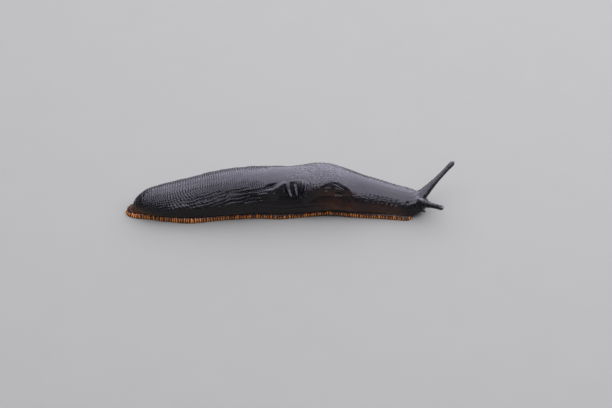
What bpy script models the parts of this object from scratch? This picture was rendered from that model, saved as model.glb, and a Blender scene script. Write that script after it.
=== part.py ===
"""Black slug, crawling: a still, life-size model of the whole animal.

All sizes are in millimetres, and make_object turns them into metres.
The slug crawls towards +X on its sole, which lies flat at z = 0.
Places along the body run from 0 at the tail tip of the foot to BODY_LENGTH at the face.
Places across it are measured from its bent midline, positive to the animal's left.
"""

import math

import bmesh
import bpy
import numpy as np

METRES_PER_MM = 0.001
GAP = 0.3  # clearance between two pieces that touch
SHARP_ANGLE = 28.0  # degrees between faces past which their edge is shaded sharp

# Along the body
BODY_LENGTH = 120.0
TAIL_END = 2.8  # where the body stands up behind the tail tip of the foot
TAIL_CUT = 29.8
BACK_CUT = 54.4
TORSO_CUT = 100.8
NECK_CUT = 110.8
TAIL_ROUNDING = 8.0
HEAD_ROUNDING = 7.5

# The midline bends to the animal's left in the middle and turns right at the head
SIDE_BEND = 5.9
BEND_SPAN = 127.0
BEND_SKEW = 1.25

# Each profile is a smooth curve through (place along the body, size)
HALF_WIDTH = ((0, 4.6), (5, 5.1), (9, 6.1), (14, 7.3), (20, 8.2), (30, 9.3), (50, 10.3), (72, 10.5), (88, 9.5),
              (100, 7.9), (111, 6.5), (120, 5.6))
BACK_HEIGHT = ((0, 9.0), (5, 9.5), (9, 10.2), (14, 11.05), (20, 12.0), (30, 14.0), (40, 15.8), (50, 16.4),
               (57, 16.1), (65, 15.0), (71, 15.8), (76, 16.9), (80, 17.0), (85, 15.8), (93, 13.3), (101, 11.3),
               (109, 9.3), (120, 7.8))
FOOT_HALF_WIDTH = ((0, 3.9), (4, 4.1), (8.5, 4.9), (15, 6.8), (22, 7.9), (40, 8.7), (60, 9.0), (78, 8.7),
                   (90, 8.5), (104, 8.0), (117, 7.4))
WIDEST_SHARE = 0.42  # height of the widest place, as a share of the back's height
SECTION_POWER = 0.92  # under 1 squares the upper half of the section a little
UPPER_SHARE = 0.72  # share of a side's skin above the widest place
GROOVE_INSET = 0.9  # the body's lower edge, in from the foot's edge
LEAST_LOW_EDGE = 0.5
FOOT_EDGE_LIMIT = 3.0  # the body's lower edge stops narrowing this far before the front of the foot
SHARE_LENGTH = 22.0  # skin between the top and the groove, for small steps along it

# Hollows in the flank, where the skin hangs slack: (place, share of the skin at which one starts)
SLACK_LINE = ((44, 0.43), (54.3, 0.45), (57.5, 0.39), (60.3, 0.335), (62.9, 0.255), (65, 0.20), (69.7, 0.215),
              (71, 0.275))
SLACK_DEPTH = 1.3
SLACK_START = (42.0, 57.5)  # the hollow deepens between these places
SLACK_END = (73.5, 69.5)
# The one round the breathing pore, on the right side only
PORE_LINE = ((71, 0.50), (74.5, 0.43), (77.8, 0.357), (81, 0.27), (85, 0.22), (87.2, 0.25), (89, 0.28), (91, 0.45))
PORE_HOLLOW_DEPTH = 1.3
PORE_HOLLOW_START = (70.0, 74.0)
PORE_HOLLOW_END = (94.0, 90.0)
HOLLOW_SLOPE = 5.5  # skin from a hollow's start down to its full depth
HOLLOW_FOOT = (0.95, 0.58)  # shares of the skin between which it comes back out

# Foot: a flat sole, and a fringe on each side
FOOT_LENGTH = 117.0
FOOT_HEIGHT = 2.2
FOOT_TAIL_ROUNDING = 6.0
FOOT_FRONT_ROUNDING = 4.0
FRINGE_DEPTH = 1.1
# The fringe gets lower over these lengths at its ends, to these shares of its height
FRINGE_TAIL_TAPER = 6.0
FRINGE_TAIL_HEIGHT = 0.7
FRINGE_FRONT_TAPER = 9.0
FRINGE_FRONT_HEIGHT = 0.6
FRINGE_STEP = 1.05
FRINGE_TAIL_TURN = 0.02  # angles left out at the ends of the half turn that spaces the foot's outline
FRINGE_FRONT_TURN = 0.25
RIB_HEIGHT = 0.26
# The fringe's section: (out from the foot's edge, share of its height, share of the rib)
FRINGE_SECTION = ((-FRINGE_DEPTH, 0.0, 0.0), (-0.15, 0.0, 0.0), (0.0, 0.12, 1.0), (-0.22, 0.55, 1.0),
                  (-0.6, 0.93, 0.6), (-FRINGE_DEPTH, 1.0, 0.0))
SOLE_STEP = 2.4
SOLE_END_HALF_WIDTH = 0.4
LIFT_REACH = 1.5  # a lifted edge leaves the floor over this many times its height
# Where the edge of the foot lifts off the floor: (place, height, half length)
RIGHT_LIFTS = ((83.0, 1.2, 8.0), (50.0, 0.4, 6.0))
LEFT_LIFTS = ((40.0, 0.5, 7.0), (71.0, 0.8, 8.0), (101.0, 0.3, 5.0))
# Where the edge of the foot bulges out, or in for a minus: (place, distance, half length)
RIGHT_BULGES = ((26.0, 1.1, 8.0), (62.0, 0.9, 7.0))
LEFT_BULGES = ((2.0, -1.2, 3.0), (18.0, 0.4, 7.0), (47.0, 0.8, 8.0), (84.0, 0.7, 9.0))

# Tubercles, raised in the skin in rows along the body
TUBERCLE_ROWS = 18
TUBERCLE_HEIGHT = 0.36
FURROW_DEPTH = 0.26  # between the rows
COLUMN_STEP = 1.2
COLUMNS_PER_TUBERCLE = 3
TUBERCLE_SEED = 7
CUT_MARGIN = 0.35  # a ring of the grid closer than this to a cut is left out
TAIL_TIP_RINGS = (TAIL_END + 0.12, TAIL_END + 0.45)
TAIL_TIP_LENGTH = 0.08

# Mantle: a shield on the front of the back, with a free edge
MANTLE_CENTRE = 77.1
MANTLE_HALF_LENGTH = 20.9
MANTLE_HALF_ANGLE = 68.0  # how far its side edge reaches down from the top, in degrees
MANTLE_CORNER_POWER = 0.84
MANTLE_RISE = 0.75
MANTLE_DEPTH = 0.9
MANTLE_EDGE_POWER = 8
MANTLE_SPOKES = 52
MANTLE_RINGS = (0.14, 0.27, 0.39, 0.50, 0.61, 0.71, 0.80, 0.88, 0.94, 0.98)
UNDER_RINGS = (0.2, 0.4, 0.6, 0.8, 0.93)
GRANULE_HEIGHT = 0.22
GRANULES = (0.35, 0.95)  # shares of the mantle's radius between which it has granules
BED_HEIGHT = 4.0  # the mantle's cutter stands this far out of the skin

# Breathing pore in the mantle's right edge
PORE_PLACE = 85.4
PORE_ANGLE = -57.0
PORE_HALF_LENGTH = 1.5
PORE_HALF_HEIGHT = 1.05
PORE_DEPTH = 1.0
PORE_RIM_RISE = 0.35
PORE_RIM_REACH = 3.2

# Head
HEAD_CENTRE_HEIGHT = 4.0
HEAD_TURNS = (0, 8, 16, 25, 34, 44, 54, 64, 74, 82)  # rings of the rounded face, in degrees
LIP_PLACE = 118.2
LIP_SIDE = 1.2
LIP_HEIGHT = 2.7
LIP_RADII = (1.6, 1.6, 1.5)
MOUTH_WIDTH = 0.35
MOUTH_DEPTH = 0.9

# Tentacles: (side, spread from the head's axis, rise above level, length)
UPPER_ROOT = (117.5, 1.75, 5.6)
UPPER_LEFT = (1, 49.3, 27.1, 18.9)
UPPER_RIGHT = (-1, 47.9, 27.5, 16.3)
UPPER_CUT = 4.2  # the stalk's own node starts this far from the root
LOWER_ROOT = (117.6, 2.6, 3.3)
LOWER_LEFT = (1, 26.0, -14.0, 3.0)
LOWER_RIGHT = (-1, 22.0, -12.0, 2.7)
LOWER_CUT = 2.1
# Radius along each kind: (share of the length, radius)
UPPER_RADII = ((0, 2.4), (0.16, 2.05), (0.3, 1.62), (0.42, 1.36), (0.56, 1.12), (0.72, 1.0), (0.86, 0.98),
               (0.95, 1.08), (1, 1.02))
LOWER_RADII = ((0, 1.2), (0.45, 0.85), (0.7, 0.62), (0.88, 0.66), (1, 0.6))
STALK_SIDES = 12
COLLAR_RINGS = 4
EYE_RADIUS = 0.45
EYE_SINK = 0.55  # share of its radius that the eye's centre lies behind the tip
EYE_GAP = 0.22

# Colours: (red, green, blue), roughness
SKIN_BLACK = ((0.014, 0.012, 0.013), 0.35)
MANTLE_BLACK = ((0.018, 0.016, 0.017), 0.32)
FRINGE_ORANGE = ((0.36, 0.13, 0.03), 0.4)
SOLE_GREY = ((0.16, 0.13, 0.11), 0.5)
EYE_BLACK = ((0.004, 0.004, 0.005), 0.12)


def smooth_curve(stations, place):
    """Values on a smooth curve through the stations that never overshoots them."""
    xs, ys = np.array(stations, float).T
    steps = np.diff(xs)
    slopes = np.diff(ys) / steps
    ends = np.zeros(len(xs))
    ends[0], ends[-1] = slopes[0], slopes[-1]
    for i in range(1, len(xs) - 1):
        before, after = slopes[i - 1], slopes[i]
        if before * after > 0:
            w_before = 2 * steps[i] + steps[i - 1]
            w_after = steps[i] + 2 * steps[i - 1]
            ends[i] = (w_before + w_after) / (w_before / before + w_after / after)
    place = np.clip(place, xs[0], xs[-1])
    i = np.clip(np.searchsorted(xs, place) - 1, 0, len(steps) - 1)
    t = (place - xs[i]) / steps[i]
    rise = ys[i + 1] - ys[i]
    lead, trail = ends[i] * steps[i], ends[i + 1] * steps[i]
    return ys[i] + t * (lead + t * (3 * rise - 2 * lead - trail + t * (lead + trail - 2 * rise)))


def rounding(distance, reach):
    """0 at an end, 1 from reach onwards, as a quarter of an ellipse."""
    t = np.clip(np.asarray(distance, float) / reach, 0, 1)
    return np.sqrt(np.clip(1 - (1 - t) ** 2, 0, 1))


def ease(value, start, end):
    """Runs smoothly from 0 at start to 1 at end, which may lie below start."""
    t = np.clip((np.asarray(value, float) - start) / (end - start), 0, 1)
    return t * t * (3 - 2 * t)


def hollow_below(line, place, part):
    """Depth, as a share of the full one, of a hollow that starts at a line and eases out at its foot."""
    down = np.clip((part - smooth_curve(line, place)) * SHARE_LENGTH / HOLLOW_SLOPE, 0, 1)
    return (1 - (1 - down) ** 2) * ease(part, *HOLLOW_FOOT)


def flank_hollow(place, share):
    """How far the skin of the flank lies in."""
    part = np.abs(share)
    slack = SLACK_DEPTH * ease(place, *SLACK_START) * ease(place, *SLACK_END)
    pore = PORE_HOLLOW_DEPTH * ease(place, *PORE_HOLLOW_START) * ease(place, *PORE_HOLLOW_END) * (share < 0)
    return slack * hollow_below(SLACK_LINE, place, part) + pore * hollow_below(PORE_LINE, place, part)


def midline(place):
    """Sideways place of the midline and its heading."""
    q = (np.maximum(place, 0) / BEND_SPAN) ** BEND_SKEW
    side = SIDE_BEND * np.sin(math.pi * q)
    q_slope = BEND_SKEW * q / np.maximum(place, 1e-6)
    heading = np.arctan(SIDE_BEND * math.pi * np.cos(math.pi * q) * q_slope)
    return side, heading


def to_world(place, across, height):
    """Points from body places, as an array whose last axis is x, y, z."""
    side, heading = midline(place)
    x = place - across * np.sin(heading)
    y = side + across * np.cos(heading)
    return np.stack(np.broadcast_arrays(x, y, height), axis=-1)


def humps_of_side(place, side, left_humps, right_humps):
    """Sum of one side's smooth humps, each given as (place, height, half length)."""
    left = sum(h * np.exp(-(((place - p) / r) ** 2)) for p, h, r in left_humps)
    right = sum(h * np.exp(-(((place - p) / r) ** 2)) for p, h, r in right_humps)
    return np.where(np.asarray(side) > 0, left, right)


def foot_edge(place, side):
    """How far one edge of the foot lies from the midline."""
    ends = rounding(place, FOOT_TAIL_ROUNDING) * rounding(FOOT_LENGTH - place, FOOT_FRONT_ROUNDING)
    return (smooth_curve(FOOT_HALF_WIDTH, place) + humps_of_side(place, side, LEFT_BULGES, RIGHT_BULGES)) * ends


def edge_lift(place, side):
    """How far the foot's edge stands off the floor on one side."""
    return humps_of_side(place, side, LEFT_LIFTS, RIGHT_LIFTS)


def body_section(place, share, offset=0.0):
    """Points on the skin. share runs from -1 at the right groove over the top to 1 at the left one.

    offset moves a point out of the section, square to its outline."""
    place, share, offset = np.broadcast_arrays(*(np.asarray(v, float) for v in (place, share, offset)))
    wide = smooth_curve(HALF_WIDTH, place)
    top = smooth_curve(BACK_HEIGHT, place)
    middle = top * WIDEST_SHARE
    low = FOOT_HEIGHT + GAP + edge_lift(place, share)
    low_edge = foot_edge(np.minimum(place, FOOT_LENGTH - FOOT_EDGE_LIMIT), share) - GROOVE_INSET
    low_edge = np.maximum(low_edge, LEAST_LOW_EDGE)

    def outline(share):
        part = np.abs(share)
        upper = np.radians(90 * np.minimum(part / UPPER_SHARE, 1))
        lower = np.radians(90 * np.clip((part - UPPER_SHARE) / (1 - UPPER_SHARE), 0, 1))
        across = np.where(part <= UPPER_SHARE, wide * np.sin(upper) ** SECTION_POWER,
                          low_edge + (wide - low_edge) * np.cos(lower))
        height = np.where(part <= UPPER_SHARE, middle + (top - middle) * np.cos(upper) ** SECTION_POWER,
                          middle - (middle - low) * np.sin(lower))
        return across * np.sign(share), height

    step = 0.004
    across, height = outline(share)
    a0, h0 = outline(np.maximum(share - step, -1))
    a1, h1 = outline(np.minimum(share + step, 1))
    length = np.hypot(a1 - a0, h1 - h0) + 1e-9
    across = across - offset * (h1 - h0) / length
    height = height + offset * (a1 - a0) / length

    tail = rounding(place - TAIL_END, TAIL_ROUNDING)
    head = rounding(BODY_LENGTH - place, HEAD_ROUNDING)
    across = across * tail * head
    height = low + (height - low) * tail
    height = HEAD_CENTRE_HEIGHT + (height - HEAD_CENTRE_HEIGHT) * head
    return across, height


def body_point(place, share, offset=0.0):
    across, height = body_section(place, share, offset)
    return to_world(place, across, height)


def material(name, finish):
    colour, roughness = finish
    made = bpy.data.materials.new(name)
    made.use_nodes = True
    shader = made.node_tree.nodes["Principled BSDF"]
    shader.inputs["Base Color"].default_value = (*colour, 1)
    shader.inputs["Roughness"].default_value = roughness
    return made


def make_object(name, points, faces, finish):
    """One closed object from points in millimetres."""
    mesh = bpy.data.meshes.new(name)
    mesh.from_pydata([tuple(METRES_PER_MM * float(c) for c in p) for p in points], [], faces)
    work = bmesh.new()
    work.from_mesh(mesh)
    bmesh.ops.recalc_face_normals(work, faces=work.faces)
    work.to_mesh(mesh)
    work.free()
    mesh.materials.append(finish)
    mesh.shade_smooth()
    mesh.set_sharp_from_angle(angle=math.radians(SHARP_ANGLE))
    made = bpy.data.objects.new(name, mesh)
    bpy.context.scene.collection.objects.link(made)
    return made


def loft(rings, first, last):
    """Points and faces of a closed tube through rings, with a point that closes each end."""
    count = len(rings[0])
    points = [p for ring in rings for p in ring]
    faces = []
    for r in range(len(rings) - 1):
        for k in range(count):
            a, b = r * count + k, r * count + (k + 1) % count
            faces.append((a, b, b + count, a + count))
    for base, tip in ((0, first), ((len(rings) - 1) * count, last)):
        points.append(tip)
        faces += [(base + k, base + (k + 1) % count, len(points) - 1) for k in range(count)]
    return points, faces


def drop_objects(objects):
    for gone in objects:
        bpy.data.objects.remove(gone)


def apply_boolean(target, operation, tools):
    """Joins or cuts target with the tools, which are then removed, and keeps its largest closed surface."""
    group = bpy.data.collections.new(target.name + "_tools")
    for tool in tools:
        group.objects.link(tool)
    change = target.modifiers.new("change", "BOOLEAN")
    change.operation = operation
    change.operand_type = "COLLECTION"
    change.collection = group
    for solver in ("EXACT", "MANIFOLD"):
        change.solver = solver
        shown = target.evaluated_get(bpy.context.evaluated_depsgraph_get())
        mesh = bpy.data.meshes.new_from_object(shown)
        if keep_largest(mesh):
            break
    target.modifiers.remove(change)
    target.data = mesh
    bpy.data.collections.remove(group)
    drop_objects(tools)


def keep_largest(mesh):
    """Leaves the largest surface of a mesh, and says whether it is a closed one."""
    work = bmesh.new()
    work.from_mesh(mesh)
    bmesh.ops.remove_doubles(work, verts=work.verts, dist=1e-7)
    left = set(work.verts)
    groups = []
    while left:
        group = {left.pop()}
        edge = list(group)
        while edge:
            near = {e.other_vert(v) for v in edge for e in v.link_edges} - group
            group |= near
            edge = list(near)
        left -= group
        groups.append(group)
    main = max(groups, key=len, default=set())
    bmesh.ops.delete(work, geom=[v for v in work.verts if v not in main], context="VERTS")
    closed = len(main) > 0 and all(len(e.link_faces) == 2 for e in work.edges)
    work.to_mesh(mesh)
    work.free()
    return closed


def body_columns(start, end):
    """Places of the rings between two cuts, on the tubercles' own grid."""
    grid = TAIL_END + COLUMN_STEP * np.arange(int(BODY_LENGTH / COLUMN_STEP))
    return grid[(grid > start + CUT_MARGIN) & (grid < end - CUT_MARGIN)]


def column_heights(column):
    """How far each point round a grid ring is raised: odd lines are the rows, even ones the furrows."""
    draw = np.random.default_rng(TUBERCLE_SEED)
    starts = np.cumsum(draw.integers(1, COLUMNS_PER_TUBERCLE, TUBERCLE_ROWS))
    sizes = draw.uniform(0.75, 1.1, TUBERCLE_ROWS)
    heights = np.zeros(2 * TUBERCLE_ROWS + 1)
    heights[2:-1:2] = -FURROW_DEPTH
    raised = (column + starts) % COLUMNS_PER_TUBERCLE != 0
    heights[1::2] = np.where(raised, sizes * TUBERCLE_HEIGHT, 0)
    return heights


def tubercle_strength(place):
    """Tubercles fade at the tail's tip and towards the head."""
    tail = np.clip((place - TAIL_END) / 5, 0, 1)
    neck = np.clip((NECK_CUT - place) / 24, 0, 1)
    return tail * neck


def body_ring(place):
    """One ring of the body: over the top from groove to groove, and a point under its middle."""
    column, between = divmod((place - TAIL_END) / COLUMN_STEP, 1)
    heights = (1 - between) * column_heights(column) + between * column_heights(column + 1)
    shares = np.linspace(-1, 1, len(heights))
    ring = list(body_point(place, shares, heights * tubercle_strength(place) - flank_hollow(place, shares)))
    low = 0.5 * (ring[0] + ring[-1])
    low[2] = min(ring[0][2], FOOT_HEIGHT + GAP)
    return ring + [low]


def ring_centre(ring):
    return np.mean(ring, axis=0)


def make_body_length(name, start, end, finish):
    """A length of the body between two flat cuts."""
    rings = [body_ring(place) for place in (start, *body_columns(start, end), end)]
    return make_object(name, *loft(rings, ring_centre(rings[0]), ring_centre(rings[-1])), finish)


def make_tail(finish):
    end = TAIL_CUT - GAP / 2
    rings = [body_ring(place) for place in (*TAIL_TIP_RINGS, *body_columns(TAIL_TIP_RINGS[-1], end), end)]
    tip = ring_centre(rings[0]) - np.array([TAIL_TIP_LENGTH, 0, 0])
    return make_object("tail", *loft(rings, tip, ring_centre(rings[-1])), finish)


def mantle_offsets(radius):
    """Outer and inner surface of the mantle, measured from the plain skin."""
    edge = np.sqrt(np.clip(1 - radius ** MANTLE_EDGE_POWER, 0, 1))
    return MANTLE_RISE * edge, -MANTLE_DEPTH * edge


def mantle_place(radius, angle, grow=0.0):
    """Place along the body and share of the skin for a point of the mantle's oval outline."""
    along = np.sign(np.cos(angle)) * np.abs(np.cos(angle)) ** MANTLE_CORNER_POWER
    aside = np.sign(np.sin(angle)) * np.abs(np.sin(angle)) ** MANTLE_CORNER_POWER
    place = MANTLE_CENTRE + (MANTLE_HALF_LENGTH + grow) * radius * along
    reach = (MANTLE_HALF_ANGLE / 90) * UPPER_SHARE + grow / SHARE_LENGTH
    return place, reach * radius * aside


def pore_share():
    return UPPER_SHARE * PORE_ANGLE / 90


def mantle_shell(name, finish, grow=0.0, over=None):
    """The mantle as a closed shell. With grow it is a cutter that leaves the gap round it."""
    angles = np.linspace(0, 2 * math.pi, MANTLE_SPOKES, endpoint=False)
    sheets = []
    for outside in (True, False):
        sheet = []
        for number, radius in enumerate(MANTLE_RINGS if outside else UNDER_RINGS):
            hollow = flank_hollow(*mantle_place(radius, angles))
            place, share = mantle_place(radius, angles, grow)
            outer, inner = mantle_offsets(radius)
            if over is None:
                grainy = GRANULES[0] < radius < GRANULES[1]
                grain = GRANULE_HEIGHT * ((np.arange(MANTLE_SPOKES) + number) % 2) * grainy
                near = np.hypot(place - PORE_PLACE, SHARE_LENGTH * (share - pore_share())) / PORE_RIM_REACH
                outer = outer + grain + PORE_RIM_RISE * np.exp(-near ** 2)
                level = outer if outside else inner
            else:
                level = over if outside else inner - grow
            sheet.append(list(body_point(place, share, level - hollow)))
        sheets.append(sheet)
    hollow = flank_hollow(*mantle_place(1.0, angles))
    place, share = mantle_place(1.0, angles, grow)
    rim = list(body_point(place, share, -hollow if over is None else -grow - hollow))
    if over is not None:
        rim_top = list(body_point(place, share, over - hollow))
        rings = sheets[0] + [rim_top, rim] + sheets[1][::-1]
    else:
        rings = sheets[0] + [rim] + sheets[1][::-1]
    outer, inner = mantle_offsets(0.0)
    top = body_point(MANTLE_CENTRE, 0.0, outer if over is None else over)
    under = body_point(MANTLE_CENTRE, 0.0, inner - grow)
    return make_object(name, *loft(rings, top, under), finish)


def blob(name, centre, axes, finish, rings=8, sides=14):
    """A closed ball whose three half axes are given as vectors."""
    centre, axes = np.array(centre, float), np.array(axes, float)
    loops = []
    for polar in np.linspace(0, math.pi, rings + 1)[1:-1]:
        turn = np.linspace(0, 2 * math.pi, sides, endpoint=False)
        unit = np.stack([np.full(sides, math.cos(polar)), math.sin(polar) * np.cos(turn),
                         math.sin(polar) * np.sin(turn)], axis=1)
        loops.append(list(centre + unit @ axes))
    return make_object(name, *loft(loops, centre + axes[0], centre - axes[0]), finish)


def skin_frame(place, share):
    """A point on the skin, and the directions along it, across it and out of it."""
    here = body_point(place, share)
    along = body_point(place + 0.2, share) - here
    across = body_point(place, share + 0.005) - here
    out = np.cross(across, along)
    along, across, out = (v / np.linalg.norm(v) for v in (along, across, out))
    if (body_point(place, share, 0.5) - here) @ out < 0:
        out = -out
    return here, along, across, out


def make_mantle(finish):
    mantle = mantle_shell("mantle", finish)
    here, along, across, out = skin_frame(PORE_PLACE, pore_share())
    centre = here + out * (MANTLE_RISE + PORE_RIM_RISE - float(flank_hollow(PORE_PLACE, pore_share())))
    axes = (out * PORE_DEPTH, along * PORE_HALF_LENGTH, across * PORE_HALF_HEIGHT)
    pore = blob("pore_cut", centre, axes, finish)
    apply_boolean(mantle, "DIFFERENCE", [pore])
    return mantle


def make_torso(finish):
    torso = make_body_length("torso", BACK_CUT + GAP / 2, TORSO_CUT - GAP / 2, finish)
    bed = mantle_shell("mantle_bed", finish, grow=GAP, over=BED_HEIGHT)
    apply_boolean(torso, "DIFFERENCE", [bed])
    return torso


def stalk_direction(kind):
    side, spread, rise, _ = kind
    heading = float(midline(BODY_LENGTH)[1])
    turn = heading + side * math.radians(spread)
    rise = math.radians(rise)
    return np.array([math.cos(turn) * math.cos(rise), math.sin(turn) * math.cos(rise), math.sin(rise)])


def stalk_root(kind, root):
    place, across, height = root
    return to_world(place, kind[0] * across, height)


def stalk_rings(kind, root, radii, shares):
    """Rings round a tentacle, at shares of its length."""
    start, way = stalk_root(kind, root), stalk_direction(kind)
    aside = np.cross(way, [0, 0, 1])
    aside /= np.linalg.norm(aside)
    up = np.cross(aside, way)
    turn = np.linspace(0, 2 * math.pi, STALK_SIDES, endpoint=False)
    rings = []
    for share in shares:
        radius = float(smooth_curve(radii, share))
        centre = start + way * share * kind[3]
        rings.append([centre + radius * (math.cos(t) * aside + math.sin(t) * up) for t in turn])
    return rings


def make_collar(name, kind, root, radii, cut, finish):
    """The root of a tentacle, which is part of the head."""
    shares = np.linspace(0, (cut - GAP) / kind[3], COLLAR_RINGS)
    rings = stalk_rings(kind, root, radii, shares)
    return make_object(name, *loft(rings, ring_centre(rings[0]), ring_centre(rings[-1])), finish)


def make_stalk(name, kind, root, radii, cut, steps, finish):
    """The free length of a tentacle, with a rounded tip."""
    length = kind[3]
    tip_radius = radii[-1][1]
    shares = list(np.linspace(cut / length, 1, steps))
    rings = stalk_rings(kind, root, radii, shares)
    way = stalk_direction(kind)
    end = ring_centre(rings[-1])
    for tilt in (30, 60):
        shrink, forward = math.cos(math.radians(tilt)), tip_radius * math.sin(math.radians(tilt))
        rings.append([end + (p - end) * shrink + way * forward for p in rings[len(shares) - 1]])
    return make_object(name, *loft(rings, ring_centre(rings[0]), end + way * tip_radius), finish)


def make_head(finish):
    start = NECK_CUT + GAP / 2
    reach = BODY_LENGTH - start
    rings = [body_ring(start + reach * math.sin(math.radians(turn))) for turn in HEAD_TURNS]
    head = make_object("head", *loft(rings, ring_centre(rings[0]), body_point(BODY_LENGTH, 0.0)), finish)
    tools = []
    for kind in (UPPER_LEFT, UPPER_RIGHT):
        tools.append(make_collar("collar", kind, UPPER_ROOT, UPPER_RADII, UPPER_CUT, finish))
    for kind in (LOWER_LEFT, LOWER_RIGHT):
        tools.append(make_collar("collar", kind, LOWER_ROOT, LOWER_RADII, LOWER_CUT, finish))
    for side in (-1, 1):
        axes = np.diag(LIP_RADII)
        tools.append(blob("lip", to_world(LIP_PLACE, side * LIP_SIDE, LIP_HEIGHT), axes, finish))
    apply_boolean(head, "UNION", tools)
    front = to_world(LIP_PLACE + LIP_RADII[0], 0.0, LIP_HEIGHT)
    mouth = blob("mouth_cut", front, np.diag((MOUTH_DEPTH, MOUTH_WIDTH, LIP_RADII[2])), finish)
    apply_boolean(head, "DIFFERENCE", [mouth])
    return head


def make_tentacles(finish, eye_finish):
    for name, kind in (("left", UPPER_LEFT), ("right", UPPER_RIGHT)):
        stalk = make_stalk("tentacle_upper_" + name, kind, UPPER_ROOT, UPPER_RADII, UPPER_CUT, 9, finish)
        way = stalk_direction(kind)
        tip = stalk_root(kind, UPPER_ROOT) + way * (kind[3] + UPPER_RADII[-1][1])
        eye_centre = tip - way * (EYE_RADIUS * EYE_SINK)
        socket = blob("socket", eye_centre, np.eye(3) * (EYE_RADIUS + EYE_GAP), finish, sides=12)
        apply_boolean(stalk, "DIFFERENCE", [socket])
        blob("eye_" + name, eye_centre, np.eye(3) * EYE_RADIUS, eye_finish, rings=6, sides=10)
    for name, kind in (("left", LOWER_LEFT), ("right", LOWER_RIGHT)):
        make_stalk("tentacle_lower_" + name, kind, LOWER_ROOT, LOWER_RADII, LOWER_CUT, 4, finish)


def foot_outline(side):
    """Even steps along one edge of the foot, from the tail tip to the front, with the way out of it."""
    turn = np.linspace(FRINGE_TAIL_TURN, math.pi - FRINGE_FRONT_TURN, 900)
    place = FOOT_LENGTH * (1 - np.cos(turn)) / 2
    line = to_world(place, side * foot_edge(place, side), 0.0)
    walked = np.concatenate([[0], np.cumsum(np.linalg.norm(np.diff(line, axis=0), axis=1))])
    count = int(walked[-1] / FRINGE_STEP)
    stops = np.linspace(0, walked[-1], count)
    place = np.interp(stops, walked, place)
    line = np.stack([np.interp(stops, walked, line[:, k]) for k in range(3)], axis=1)
    along = np.gradient(line, axis=0)
    along /= np.linalg.norm(along, axis=1, keepdims=True)
    out = side * np.stack([-along[:, 1], along[:, 0], np.zeros(count)], axis=1)
    out[0] = (-1, 0, 0)
    return place, line, out


def fringe_height(place):
    """Height of the fringe, less towards its ends."""
    tail = np.clip(1 - place / FRINGE_TAIL_TAPER, 0, 1)
    front = np.clip(1 - (FOOT_LENGTH - place) / FRINGE_FRONT_TAPER, 0, 1)
    return FOOT_HEIGHT * (1 - (1 - FRINGE_TAIL_HEIGHT) * tail - (1 - FRINGE_FRONT_HEIGHT) * front)


def make_fringe(name, side, finish):
    """The fringe along one edge of the foot, with a rib for each band across it."""
    places, line, out = foot_outline(side)
    rings = []
    for number, (place, edge, way) in enumerate(zip(places, line, out)):
        lift = float(edge_lift(place, side))
        rib = RIB_HEIGHT * (number % 2)
        tall = fringe_height(place)
        ring = np.array([edge + way * (beyond + rib * ribbed) + np.array([0, 0, lift + tall * up])
                         for beyond, up, ribbed in FRINGE_SECTION])
        ring[:, 1] = side * np.maximum(side * ring[:, 1], GAP / 2)
        rings.append(list(ring))
    return make_object(name, *loft(rings, ring_centre(rings[0]), ring_centre(rings[-1])), finish)


def make_sole(finish):
    """The flat sole, whose edge follows the lifted fringe."""
    inset = FRINGE_DEPTH + GAP
    turn = np.linspace(0, math.pi, 400)
    places = FOOT_LENGTH * (1 - np.cos(turn)) / 2
    widths = []
    for side in (-1, 1):
        edge = foot_edge(places, side)
        widths.append(edge - inset * np.sqrt(1 + np.gradient(edge, places) ** 2))
    inside = places[np.minimum(*widths) > SOLE_END_HALF_WIDTH]
    start, end = inside[0], inside[-1]
    count = int((end - start) / SOLE_STEP)
    rings = []
    for place in start + (end - start) * (1 - np.cos(np.linspace(0, math.pi, count))) / 2:
        right_edge, left_edge = (float(np.interp(place, places, width)) for width in widths)
        right, left = (float(edge_lift(place, side)) for side in (-1, 1))
        section = ((-right_edge, FOOT_HEIGHT + right), (-right_edge, right),
                   (-right_edge + LIFT_REACH * right, 0), (0, 0), (left_edge - LIFT_REACH * left, 0),
                   (left_edge, left), (left_edge, FOOT_HEIGHT + left), (0, FOOT_HEIGHT))
        rings.append([to_world(place, y, z) for y, z in section])
    return make_object("sole", *loft(rings, ring_centre(rings[0]), ring_centre(rings[-1])), finish)


def centre_on_floor():
    """Moves the model so that its footprint's middle is the origin."""
    objects = [o for o in bpy.data.objects if o.type == "MESH"]
    points = np.array([v.co for o in objects for v in o.data.vertices])
    low, high = points.min(axis=0), points.max(axis=0)
    shift = -0.5 * (low + high)
    for o in objects:
        for v in o.data.vertices:
            v.co.x += shift[0]
            v.co.y += shift[1]
        o.data.update()
    print("moved by", [round(float(s) * 1000, 3) for s in shift], "floor", round(float(low[2]) * 1000, 4))


def main():
    for old in list(bpy.data.objects):
        bpy.data.objects.remove(old)
    skin = material("slug_skin", SKIN_BLACK)
    mantle_skin = material("mantle_skin", MANTLE_BLACK)
    fringe = material("foot_fringe", FRINGE_ORANGE)
    sole = material("sole_skin", SOLE_GREY)
    eye = material("eye", EYE_BLACK)

    make_tail(skin)
    make_body_length("back", TAIL_CUT + GAP / 2, BACK_CUT - GAP / 2, skin)
    make_torso(skin)
    make_body_length("neck", TORSO_CUT + GAP / 2, NECK_CUT - GAP / 2, skin)
    make_head(skin)
    make_mantle(mantle_skin)
    make_tentacles(skin, eye)
    make_fringe("fringe_left", 1, fringe)
    make_fringe("fringe_right", -1, fringe)
    make_sole(sole)
    centre_on_floor()


main()
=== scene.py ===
"""Looks of a crawling black slug, as a still, life-size model.

The file is laid out as an add-on and run as a script. Its operators build the pieces round the
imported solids, which it loads as a fixed frame, and then the stage.

The helper functions work in millimetres on the slug's own plan. Places along the body run from 0 at
the tail tip of the foot to BODY_LENGTH at the face. Shares of the skin run from -1 at the right
groove over the top of the back to 1 at the left one. in_frame() turns such points into metres in
the solids' frame.
"""

import math

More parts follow.
